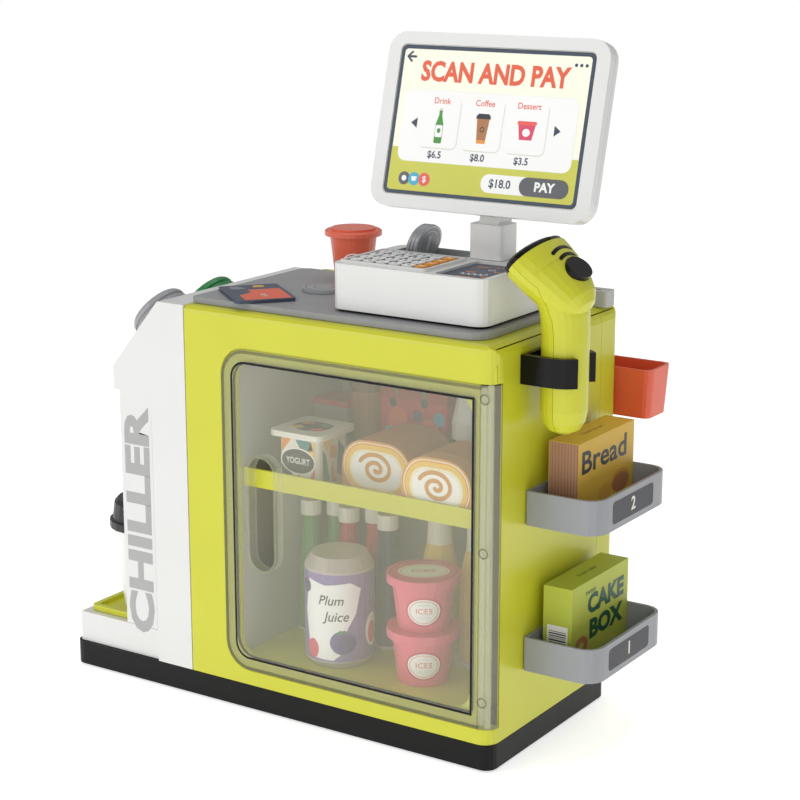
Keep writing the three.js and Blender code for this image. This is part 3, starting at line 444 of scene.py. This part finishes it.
INK = {name: ink(name, colour) for name, colour in {
    "navy": (52, 66, 84), "lime": (208, 208, 84), "white": (252, 252, 250), "coral": CORAL,
    "shade": (226, 226, 214), "grey": (92, 94, 98), "blue": (70, 178, 208), "red": (236, 96, 88),
    "leaf": (70, 150, 60), "deep_leaf": (24, 84, 58), "brown": (176, 118, 74), "dark": (40, 42, 50),
    "pink": (222, 70, 104), "panel_grey": (172, 172, 171), "orange": (240, 150, 60),
    "yellow": (244, 200, 84), "cream": (250, 240, 208), "violet": (104, 84, 152),
    "plum": (84, 62, 124), "teal": (60, 130, 134), "box_brown": (182, 136, 112),
    "stripe": (160, 114, 92), "gold": (222, 168, 60), "bun": (214, 150, 62)}.items()}


def screen_art():
    lean = math.radians(14.5)
    art = Artwork("screen_art", "display",
                  plane((302, 84, 410), (1, 0, 0), (0, math.sin(lean), math.cos(lean))))
    level = -0.46
    art.fill(INK["navy"], rounded(-73.4, 73.4, -49.9, 49.9, 4), level,
             [rounded(-70.6, 70.6, -47.2, 47.2, 2.4)])
    lower = rounded(-70.7, 70.7, -47.3, -10, 2.4)
    art.fill(INK["lime"], [(u, min(v, -18.5)) for u, v in lower], level + 0.05)
    art.fill(INK["white"], rounded(-65.8, 65.8, -27.6, 20.2, 6), level + 0.1)
    art.words(INK["coral"], "SCAN AND PAY", 0, 32.2, 13.2, level + 0.1, 0.86, 0.035)
    tiles = ((-36, "Drink", "$6.5"), (-3, "Coffee", "$8.0"), (30, "Dessert", "$3.5"))
    for u, caption, price in tiles:
        art.fill(INK["shade"], rounded(u - 14.4, u + 15.2, -18.4, 16.4, 4.4), level + 0.14)
        art.fill(INK["white"], rounded(u - 15, u + 14.6, -17.6, 17.2, 4), level + 0.18)
        art.words(INK["coral"], caption, u, 13.4, 4.2, level + 0.22, 0.95, 0.01)
        art.words(INK["navy"], price, u - 1, -22.4, 4.8, level + 0.16, 0.95, 0.02)
    bottle = [(-2.6, -14.6), (2.6, -14.6), (3, -13.6), (3, -2), (1.2, 4), (1.2, 7.6), (-1.2, 7.6),
              (-1.2, 4), (-3, -2), (-3, -13.6)]
    art.fill(INK["leaf"], [(u - 36, v) for u, v in bottle], level + 0.22)
    art.fill(INK["white"], rounded(-38.7, -33.3, -10.5, -2.5, 1), level + 0.25)
    art.fill(INK["leaf"], ellipse(-36, -6.2, 1.4, 1.6), level + 0.28)
    art.fill(INK["shade"], rounded(-37.4, -34.6, 7.2, 8.8, 0.5), level + 0.25)
    art.fill(INK["brown"], [(-6.2, -12.8), (0.2, -12.8), (1.8, 4), (-7.8, 4)], level + 0.22)
    cap = [(-8.6, 3.4), (2.6, 3.4), (2.2, 5.4), (0.8, 6.8), (-6.8, 6.8), (-8.2, 5.4)]
    art.fill(INK["dark"], cap, level + 0.25)
    art.fill(INK["dark"], ellipse(-3, -3.6, 1.8, 1.8), level + 0.25, [ellipse(-3, -3.6, 1.2, 1.2)])
    art.fill(INK["orange"], [(-6.2, -12.8), (0.2, -12.8), (0.4, -10.4), (-6.4, -10.4)], level + 0.25)
    art.fill(INK["pink"], [(25.4, -8.4), (34.6, -8.4), (36.4, 1.6), (23.6, 1.6)], level + 0.22)
    art.fill(INK["red"], rounded(22.8, 37.2, 1.2, 3.8, 1.2), level + 0.25)
    art.fill(INK["white"], ellipse(30, -3.6, 2.8, 2.6), level + 0.25)
    art.fill(INK["navy"], [(-53.6, -5.4), (-53.6, 1.6), (-58.4, -1.9)], level + 0.16)
    art.fill(INK["navy"], [(50.2, -4.8), (55, -1.3), (50.2, 2.2)], level + 0.16)
    art.fill(INK["navy"], ribbon([(-61.6, 42), (-67.6, 42)], 1.5), level + 0.1)
    art.fill(INK["navy"], ribbon([(-64.6, 45), (-68, 42), (-64.6, 39)], 1.5), level + 0.12)
    for u in (59.6, 63.4, 67.2):
        art.fill(INK["navy"], ellipse(u, 41.4, 1.1, 1.1, 20), level + 0.1)
    for i, (u, paint) in enumerate(((-58, "grey"), (-50.2, "blue"), (-42.2, "red"))):
        art.fill(INK[paint], ellipse(u, -39.2, 4.4, 4.4), level + 0.1 + 0.03 * i)
    art.fill(INK["white"], ellipse(-58, -39.2, 1.9, 1.9, 20), level + 0.2)
    art.fill(INK["white"], [(-52.4, -37.6), (-48, -37.6), (-48.8, -40.6), (-51.8, -40.6)], level + 0.2)
    art.words(INK["white"], "$", -42.2, -39.2, 4.2, level + 0.2, 1.0, 0.02)
    art.fill(INK["white"], rounded(1.4, 44, -44.2, -32, 6), level + 0.1)
    art.fill(INK["grey"], rounded(30.2, 66.4, -44.2, -32, 6), level + 0.15)
    art.words(INK["navy"], "$18.0", 15.6, -38.1, 5.6, level + 0.15, 0.95, 0.02)
    art.words(INK["white"], "PAY", 48.6, -38.1, 6, level + 0.2, 1.0, 0.04)
    art.done()


def name_art():
    art = Artwork("name_word", "cabinet", plane((65.8, 2.5, 118.5), (0, 0, 1), (-1, 0, 0)))
    art.words(INK["panel_grey"], "CHILLER", 0, 0, 21.5, 0.08, 1.5, 0.045)
    art.done()


def till_art():
    x0, x1, y0, y1, _, top = mm("key_mat")
    mid_x, mid_y = (x0 + x1) / 2, (y0 + y1) / 2
    art = Artwork("key_marks", "cabinet", plane((mid_x, mid_y, top), *TOP))
    rows = ("-0.=+", "x123-", "%456x", "C789/")
    first_column = ("navy", "teal", "teal", "coral")
    for row, marks in enumerate(rows):
        for column, mark in enumerate(marks):
            paint = first_column[row] if column == 0 else "navy"
            art.words(INK[paint], mark, (column - 2.5) * 10.1, (row - 1.5) * 11.4, 3.4, 0.1, 1.0, 0.02)
    art.done()
    pad = Artwork("slate_marks", "cabinet", plane((317.2, 52, mm("slate_pad")[5]), *TOP))
    for u, v, length in ((-11, 16, 9), (1, 19, 12), (-9, -2, 7), (8, 4, 8), (-6, -19, 12), (9, -14, 6)):
        wave = [(u + length * t / 16, v + 1.5 * math.sin(t * 1.3)) for t in range(17)]
        pad.fill(INK["orange"], ribbon(wave, 0.9))
    script = [(-9 + t * 0.5, -10 + 2.6 * math.sin(t * 0.75) + t * 0.06) for t in range(40)]
    pad.fill(INK["white"], ribbon(script, 0.8))
    pad.fill(INK["white"], ellipse(4, 9, 2.6, 2.2), 0.06, [ellipse(4, 9, 1.9, 1.5)])
    pad.done()
    for i in range(1, 5):
        a, b, c, d, _, high = mm(f"push_key_{i}")
        middle = ((a + b) / 2, (c + d) / 2, high)
        key = Artwork(f"push_key_mark_{i}", f"key_{i}", plane(middle, *TOP))
        key.fill(INK["white"], ellipse(0, 0, 1.4, 1.2, 20))
        key.done()


def card_art():
    turn = math.radians(-39)
    top = mm("pay_card")[5]
    art = Artwork("card_print", "card", plane((149, 35, top), (math.cos(turn), math.sin(turn), 0),
                                              (-math.sin(turn), math.cos(turn), 0)))
    art.fill(INK["coral"], [(-10, -4), (0, -4), (8, -14), (25.5, -14), (25.5, 18.5), (-10, 18.5)])
    art.fill(INK["gold"], rounded(-24, -17, 2, 10, 1.4), 0.08)
    for k in range(3):
        art.fill(INK["white"], ribbon([(-22 + 3 * k, -14), (-22 + 3 * k, -8 + 2 * k)], 0.7), 0.08)
    art.words(INK["shade"], "GIFT", 12, 2, 3.6, 0.1, 1.0, 0.02)
    art.done()


def cup_art():
    art = Artwork("cup_badge", "cup", drum(172, 119, 288.6, 13, 4 / 34), step=1.5)
    art.fill(INK["white"], ellipse(0, 15, 6.4, 6.4), 0.08, [ellipse(0, 15, 5.6, 5.6)])
    for k in range(3):
        wave = [(-2.4 + 2.4 * k + 0.7 * math.sin(t * 0.8), 12 + t * 0.75) for t in range(9)]
        art.fill(INK["white"], ribbon(wave, 0.7), 0.08)
    art.done()


def coin_art():
    # The leaning coin's outward direction, and up along its face.
    facing = Vector((0.947, -0.097, -0.306)).normalized()
    up = Vector((0.304, -0.031, 0.952))
    up = (up - up.dot(facing) * facing).normalized()
    side = up.cross(facing)
    a, b, c, d, e, f = mm("coin_3")
    centre = Vector(((a + b) / 2, (c + d) / 2, (e + f) / 2)) + facing * 1.15
    art = Artwork("coin_relief", "cabinet", plane(centre, side, up))
    # The coin's raised rings, digit and dots are drawn flat in the lighter silver: a painted highlight on the
    # relief.
    art.fill(coin_highlight, ellipse(0, 0, 13.1, 13.1, 48), 0.1, [ellipse(0, 0, 11.8, 11.8, 48)])
    art.fill(coin_highlight, ellipse(0, 0, 9.6, 9.6, 48), 0.1, [ellipse(0, 0, 9, 9, 48)])
    art.words(coin_highlight, "1", 0, 0, 10, 0.12, 1.1, 0.03)
    for i in range(16):
        angle = 2 * math.pi * i / 16
        art.fill(coin_highlight, ellipse(10.7 * math.cos(angle), 10.7 * math.sin(angle), 0.35, 0.35, 10), 0.1)
    art.done()
    token = Artwork("token_ring", "cabinet", plane((177, 76, mm("loose_token")[5]), *TOP))
    token.fill(INK["grey"], ellipse(0, 0, 13.6, 13.6, 48), 0.05, [ellipse(0, 0, 12.9, 12.9, 48)])
    token.fill(INK["grey"], ellipse(0, 0, 7.6, 7.6, 40), 0.05, [ellipse(0, 0, 7, 7, 40)])
    token.done()


def spiral(turns, gap, start=0.9, squash=0.8):
    path = []
    for i in range(int(turns * 28)):
        angle = 2 * math.pi * i / 28
        radius = start + gap * angle / (2 * math.pi)
        path.append((radius * math.cos(angle - 2.2), squash * radius * math.sin(angle - 2.2)))
    return path


def cake_art():
    for i in (1, 2):
        x0, x1, y0, _, z0, z1 = mm(f"swiss_roll_{i}")
        half, high = (x1 - x0) / 2, z1 - z0
        art = Artwork(f"cake_face_{i}", "cabinet", plane(((x0 + x1) / 2, y0, z0), *FRONT))
        layers = ((0.5, "bun"), (1.5, "cream"), (2.3, "orange"), (3.2, "yellow"), (6.6, "cream"),
                  (8.6, "white"))
        for k, (inset, paint) in enumerate(layers):
            corner = min(17.5, high / 2 - inset)
            shape = rounded(-half + inset, half - inset, 0.3 + inset * 0.7, high - inset, corner)
            art.fill(INK[paint], shape, 0.06 + 0.05 * k)
        art.fill(INK["bun"], ribbon([(u, v + high * 0.5) for u, v in spiral(1.85, 6.9, 1.4)], 3.0), 0.4)
        art.done()


SHELF_GOODS = 163.1


def tub_art():
    x0, x1, y0, z0 = 176, 209.5, 21, SHELF_GOODS
    front = Artwork("yogurt_front", "cabinet", plane((x0, y0, z0), *FRONT))
    wide = x1 - x0
    patches = (("navy", [(3, 1), (14, 1), (8, 16), (3, 20)]), ("orange", [(3, 22), (12, 33), (3, 33)]),
               ("teal", [(14, 33), (27, 33), (29.5, 26), (20, 24)]), ("red", [(24, 1), (30.5, 1), (30.5, 14)]),
               ("yellow", [(30.5, 16), (30.5, 33), (28, 33), (24, 22)]), ("orange", [(12, 1), (22, 1), (17, 9)]))
    for paint, shape in patches:
        front.fill(INK[paint], shape, 0.06)
    front.fill(INK["white"], ellipse(wide / 2, 17, 14.6, 9.4), 0.1)
    front.fill(INK["dark"], ellipse(wide / 2, 17, 13.6, 8.4), 0.14)
    front.words(INK["white"], "YOGURT", wide / 2, 17, 4.4, 0.18, 0.8, 0.02)
    front.done()
    side = Artwork("yogurt_side", "cabinet", plane((x1, y0, z0), *SIDE))
    for paint, shape in (("teal", [(5.5, 1), (14, 1), (9, 22), (5.5, 26)]),
                         ("red", [(15, 1), (21, 1), (17, 16)]),
                         ("yellow", [(10, 24), (20, 33), (5.5, 33)]),
                         ("navy", [(22, 6), (31, 1), (31, 22), (24, 30)]),
                         ("orange", [(14, 18), (22, 18), (22, 27), (14, 27)])):
        side.fill(INK[paint], shape, 0.06)
    side.done()
    lid = Artwork("yogurt_lid", "cabinet", plane((192, 39.5, mm("yogurt_tub")[5]), *TOP))
    lifts = {"navy": 0.06, "dark": 0.14}
    for paint, u, v, a, b in (("navy", 0, 0, 14, 12), ("orange", -8, 6, 5, 4), ("teal", 7, 6, 6, 4),
                              ("red", 8, -6, 5, 4), ("yellow", -8, -6, 5, 4), ("dark", 0, 0, 7.5, 5.5)):
        lid.fill(INK[paint], ellipse(u, v, a, b), lifts.get(paint, 0.1))
    lid.done()


def can_art():
    art = Artwork("can_label", "cabinet", drum(218.3, 33, 38.8, 24.4), step=2)
    patch = [(-22, 8), (-4, 7), (2, 12), (6, 30), (12, 40), (16, 58), (8, 63), (-10, 61), (-24, 64),
             (-28, 40)]
    art.fill(INK["white"], patch, 0.08)
    art.fill(INK["white"], ellipse(27, 26, 7, 12), 0.08)
    art.fill(INK["pink"], ellipse(27, 24, 4.4, 8), 0.12)
    art.words(INK["dark"], "Plum", -6, 50, 7, 0.14, 0.95, 0.01, 0.25)
    art.words(INK["dark"], "Juice", -2, 38.5, 7, 0.14, 0.95, 0.01, 0.25)
    art.fill(INK["violet"], ellipse(3, 20, 9.4, 8.8), 0.14)
    art.fill(INK["plum"], ellipse(5, 18.6, 6.8, 6.4), 0.18)
    for angle in (20, 75, 130, 175):
        u, v = 3 + 4 * math.cos(math.radians(angle)), 27 + 2.4 * math.sin(math.radians(angle))
        art.fill(INK["leaf"], [(3, 26.6), (u, v + 1), (u, v - 1)], 0.22)
    art.fill(INK["pink"], ellipse(-20, 14, 5, 7), 0.12)
    art.fill(INK["plum"], ellipse(-27, 58, 5, 5), 0.12)
    art.done()


def dessert_art():
    for i, base in ((1, 38.8), (2, 77.1)):
        art = Artwork(f"dessert_label_{i}", "cabinet", drum(286.5, 34, base, 17.5, 4 / 31.5), step=1.5)
        art.fill(pink_deep, ellipse(0, 15.5, 11.4, 10.6), 0.08)
        art.fill(INK["white"], ellipse(0, 15.5, 10.2, 9.4), 0.12)
        art.fill(INK["coral"], ellipse(0, 15.5, 9, 8.3), 0.14, [ellipse(0, 15.5, 8.6, 7.9)])
        art.words(INK["coral"], "ICES", 0, 16, 4, 0.16, 1.0, 0)
        for v, size in ((20.6, 6), (11.6, 8)):
            art.fill(INK["shade"], ribbon([(-size / 2, v), (size / 2, v)], 0.6), 0.16)
        art.done()
    lid = Artwork("dessert_lid", "cabinet", plane((286.5, 34, mm("dessert_tub_2")[5]), (0.836, 0.549, 0),
                                                  (-0.549, 0.836, 0)))
    lid.fill(pink_deep, ellipse(0, 0, 23, 23, 48), 0.05, [ellipse(0, 0, 21.6, 21.6, 48)])
    lid.fill(INK["white"], ellipse(0, 0, 17.4, 14), 0.06)
    lid.fill(INK["red"], ellipse(0, 0, 15.8, 12.4), 0.08, [ellipse(0, 0, 15.2, 11.8)])
    lid.words(INK["red"], "ICES", 0, 0, 5.4, 0.1, 1.2, 0)
    lid.done()


def back_row_art():
    pouch = Artwork("pouch_print", "cabinet", plane((213, 93, SHELF_GOODS), *FRONT))
    for u, v, r, paint in ((14, 36, 8, "red"), (40, 30, 8, "red"), (22, 24, 5, "plum"), (7, 26, 4, "blue"),
                           (48, 40, 4.5, "blue"), (30, 40, 4, "plum"), (46, 18, 5, "pink"), (33, 20, 4, "dark"),
                           (10, 48, 3, "dark"), (36, 50, 3, "dark"), (26, 12, 4, "white"), (12, 14, 4, "white")):
        pouch.fill(INK[paint], ellipse(u, v, r, r * 1.15, 20), 0.06 + 0.01 * r)
    pouch.fill(INK["leaf"], [(4, 62), (12, 66), (14, 54)], 0.2)
    pouch.fill(INK["leaf"], [(30, 64), (38, 62), (37, 52)], 0.2)
    pouch.done()


def carton_art():
    brown = Artwork("carton_stripes", "cabinet", plane((366, 60, 161.2), *FRONT))
    brown.fill(INK["box_brown"], rounded(0.3, 21.7, 0.3, 50.5, 0.3, 1), 0.05)
    for k in range(9):
        u = 2.4 + 2.3 * k
        brown.fill(INK["stripe"], [(u, 0.6), (u + 0.8, 0.6), (u + 0.8, 50.2), (u, 50.2)], 0.08)
    brown.done()
    side = Artwork("carton_word", "cabinet", plane((388, 60, 161.2), *SIDE))
    side.words(INK["dark"], "Bread", 36, 36, 15.5, 0.08, 1.3, 0.02)
    side.fill(INK["bun"], ellipse(60, 13, 13, 8), 0.06)
    side.fill(INK["brown"], ellipse(60, 12, 12, 6.4), 0.1)
    side.fill(INK["gold"], ellipse(38, 10, 9, 6), 0.08)
    side.done()
    lid = Artwork("carton_top_line", "cabinet", plane((377, 99, mm("food_box_upper")[5]), (0, 1, 0), (-1, 0, 0)))
    lid.words(INK["stripe"], "fresh bread", 0, 0, 4, 0.06, 1.1)
    lid.done()

    face = Artwork("cake_box_word", "cabinet", plane((386.6, 58, 60.8), *SIDE))
    face.words(INK["deep_leaf"], "CAKE", 48, 35, 13, 0.08, 1.15, 0.05)
    face.words(INK["deep_leaf"], "BOX", 48, 17, 13, 0.08, 1.25, 0.05)
    face.fill(INK["bun"], ellipse(14, 9, 10, 7.6), 0.08, [ellipse(14, 9.6, 3.4, 2.2)])
    face.fill(INK["brown"], ellipse(14, 10, 8.6, 6), 0.12, [ellipse(14, 10, 3.8, 2.6)])
    face.words(INK["deep_leaf"], "sweet", 26, 45, 4, 0.08, 1.1, 0.01)
    face.done()
    near = Artwork("cake_box_bars", "cabinet", plane((365.2, 58, 60.8), *FRONT))
    near.fill(INK["white"], rounded(3, 18.6, 3, 26, 0.6, 2), 0.06)
    heights = (1.2, 0.5, 0.8, 1.5, 0.5, 1.0, 0.6, 1.3, 0.5, 0.9, 1.1, 0.5)
    v = 4.4
    for thick in heights:
        near.fill(INK["dark"], [(4.4, v), (17.2, v), (17.2, v + thick * 0.8), (4.4, v + thick * 0.8)], 0.1)
        v += thick * 0.8 + 0.85
    near.done()
    top = Artwork("cake_box_top", "cabinet", plane((376, 98, mm("food_box_lower")[5]), (0, 1, 0), (-1, 0, 0)))
    top.words(INK["deep_leaf"], "fresh cake", 0, 0, 4, 0.06, 1.1)
    top.done()


def tray_art():
    for level, (name, z) in enumerate((("lower", 58.3), ("upper", 158.7)), 1):
        art = Artwork(f"tray_label_{name}", "cabinet", plane((414, 88, z + 11.6), *SIDE))
        art.fill(INK["dark"], rounded(-29, 29, -7.6, 7.6, 3), 0.08)
        art.words(INK["shade"], str(level), 0, 0, 9, 0.12, 1.0, 0.03)
        art.done()


HEAD_X, HEAD_Y, HEAD_Z, HEAD_LEAN = 375.3, 51, 318.5, math.radians(48.6)
HEAD_ROWS = ((-26.6, 4.4, 4.4), (-24.4, 10.8, 9.2), (-18.5, 17.8, 13.8), (-10, 22.5, 16.6), (0, 26.1, 17.6),
             (7, 28.6, 17.8), (14, 30.2, 17.7), (21, 30.8, 17.5))


def head_skin(u, v, lift):
    """Maps artwork onto the scanner head's upper face: u across it and v towards the nose."""
    for (d0, a0, t0), (d1, a1, t1) in zip(HEAD_ROWS, HEAD_ROWS[1:]):
        if d0 <= v <= d1:
            part = (v - d0) / (d1 - d0)
            across, thick = a0 + part * (a1 - a0), t0 + part * (t1 - t0)
    out = thick * math.sqrt(1 - (u / across) ** 2) + lift
    x = HEAD_X - v * math.sin(HEAD_LEAN) + out * math.cos(HEAD_LEAN)
    z = HEAD_Z + v * math.cos(HEAD_LEAN) + out * math.sin(HEAD_LEAN)
    return at(x, HEAD_Y + u, z)


BROW_REACH, BROW_FROM, BROW_TO = 27, 7, 20.95


def scanner_art():
    """A smooth skin over the uneven rim of the head's upper face, and the two slots."""
    art = Artwork("scanner_slots", "scanner", head_skin, step=1.2)
    across = range(-BROW_REACH, BROW_REACH + 1)
    brow = [(u, BROW_FROM) for u in across] + [(u, BROW_TO) for u in reversed(across)]
    art.fill(lime, brow, 0.12)
    # Painted shade: the two slots are flat black strokes that stand in for the dark of their hollows.
    for reach, d, bow in ((11.5, 11.6, 2.0), (8.8, 6.4, 1.5)):
        path = [(reach * t / 8, d + bow * (1 - (t / 8) ** 2)) for t in range(-8, 9)]
        art.fill(black, ribbon(path, 2.6), 0.22)
    art.done()


def door_art():
    # Painted shade: a dark see-through band along the clear door's outer edge, and rings of it round the hinge
    # pins. Inside it lie a pale see-through band, which also rings the grip, and a thin black line.
    rim = plastic("door_rim_shade", (84, 86, 62), 0.15, 0.0, 0.04, alpha=0.6)
    veil = plastic("door_rim_veil", (176, 178, 132), 0.12, 0.0, 0.03, alpha=0.24)
    left, right, bottom, top = 144.5, 351, 28.8, 258.5
    art = Artwork("door_rim", "door", plane((0, -0.8, 0), *FRONT))

    def outline(inset, right_inset=0.0):
        full = rounded(left + inset, right + 60, bottom + inset, top - inset, 20 - inset, 8)
        return [(min(u, right - right_inset), v) for u, v in full]

    art.fill(rim, outline(0.3), 0.03, [outline(2.6, 0.01)])
    art.fill(veil, outline(2.6), 0.03, [outline(8.2, 0.01)])
    art.fill(black, outline(8.2, 5), 0.05, [outline(9.8, 6.6)])
    for z in (47.5, 149, 250):
        art.fill(rim, ellipse(353.5, z, 3.6, 3.6, 28), 0.06, [ellipse(353.5, z, 2.6, 2.6, 28)])
    grip = rounded(164.4, 189.6, 102.4, 186.6, 12)
    art.fill(veil, grip, 0.06, [rounded(166.2, 187.8, 104.2, 184.8, 10.6)])
    art.done()


screen_art()
name_art()
till_art()
card_art()
cup_art()
coin_art()
cake_art()
tub_art()
can_art()
dessert_art()
back_row_art()
carton_art()
tray_art()
scanner_art()
door_art()


# ---------------------------------------------------------------- floor, light and camera
FLOOR_RADIUS, FLOOR_SIDES, FLOOR_GLOW = 3.2, 96, 0.6
LIT_POINT = Vector((0, 0, 0.2))
FILL_LIGHT, BACKDROP_LIGHT = 0.42, 1.0
CAMERA_PLACE = (0.76125, -1.13161, 0.55219)
CAMERA_PITCH, CAMERA_TURN = 75.93, 33.297
LENS, SENSOR = 89.46, 36


def stage_floor():
    """A round pale floor."""
    data = bpy.data.meshes.new("floor")
    rim = [(u, v, 0) for u, v in ellipse(0, 0, FLOOR_RADIUS, FLOOR_RADIUS, FLOOR_SIDES)]
    data.from_pydata(rim, [], [list(range(FLOOR_SIDES))])
    paint = plastic("floor_white", (252, 252, 252), 0.8, 0.0, 0.002)
    glow = paint.node_tree.nodes["Principled BSDF"].inputs
    glow["Emission Color"].default_value = (1, 1, 1, 1)
    glow["Emission Strength"].default_value = FLOOR_GLOW
    data.materials.append(paint)
    floor = bpy.data.objects.new("floor", data)
    bpy.context.scene.collection.objects.link(floor)


def area_light(name, place, width, watts):
    """A square soft light that faces the middle of the object."""
    data = bpy.data.lights.new(name, "AREA")
    data.shape = "SQUARE"
    data.size = width
    data.energy = watts
    light = bpy.data.objects.new(name, data)
    light.location = place
    light.rotation_euler = (LIT_POINT - Vector(place)).to_track_quat("-Z", "Y").to_euler()
    bpy.context.scene.collection.objects.link(light)


stage_floor()
area_light("key", (-1.5, -2.1, 1.3), 1.5, 16)
area_light("top", (-0.1, 0.3, 2.2), 1.6, 9)
area_light("front", (1.0, -2.3, 0.7), 0.9, 9)


def studio_world():
    """White surroundings: bright behind the object, softer as fill light."""
    world = bpy.data.worlds.new("studio")
    world.use_nodes = True
    tree = world.node_tree
    fill = tree.nodes["Background"]
    fill.inputs["Color"].default_value = (1, 1, 1, 1)
    fill.inputs["Strength"].default_value = FILL_LIGHT
    behind = tree.nodes.new("ShaderNodeBackground")
    behind.inputs["Color"].default_value = (1, 1, 1, 1)
    behind.inputs["Strength"].default_value = BACKDROP_LIGHT
    rays = tree.nodes.new("ShaderNodeLightPath")
    mix = tree.nodes.new("ShaderNodeMixShader")
    tree.links.new(rays.outputs["Is Camera Ray"], mix.inputs[0])
    tree.links.new(fill.outputs[0], mix.inputs[1])
    tree.links.new(behind.outputs[0], mix.inputs[2])
    tree.links.new(mix.outputs[0], tree.nodes["World Output"].inputs["Surface"])
    return world


bpy.context.scene.world = studio_world()
bpy.context.scene.view_settings.view_transform = "Standard"
bpy.context.scene.view_settings.look = "None"

lens_data = bpy.data.cameras.new("camera")
lens_data.lens = LENS
lens_data.sensor_width = SENSOR
camera = bpy.data.objects.new("camera", lens_data)
camera.location = CAMERA_PLACE
camera.rotation_euler = Euler((math.radians(CAMERA_PITCH), 0, math.radians(CAMERA_TURN)))
bpy.context.scene.collection.objects.link(camera)
bpy.context.scene.camera = camera
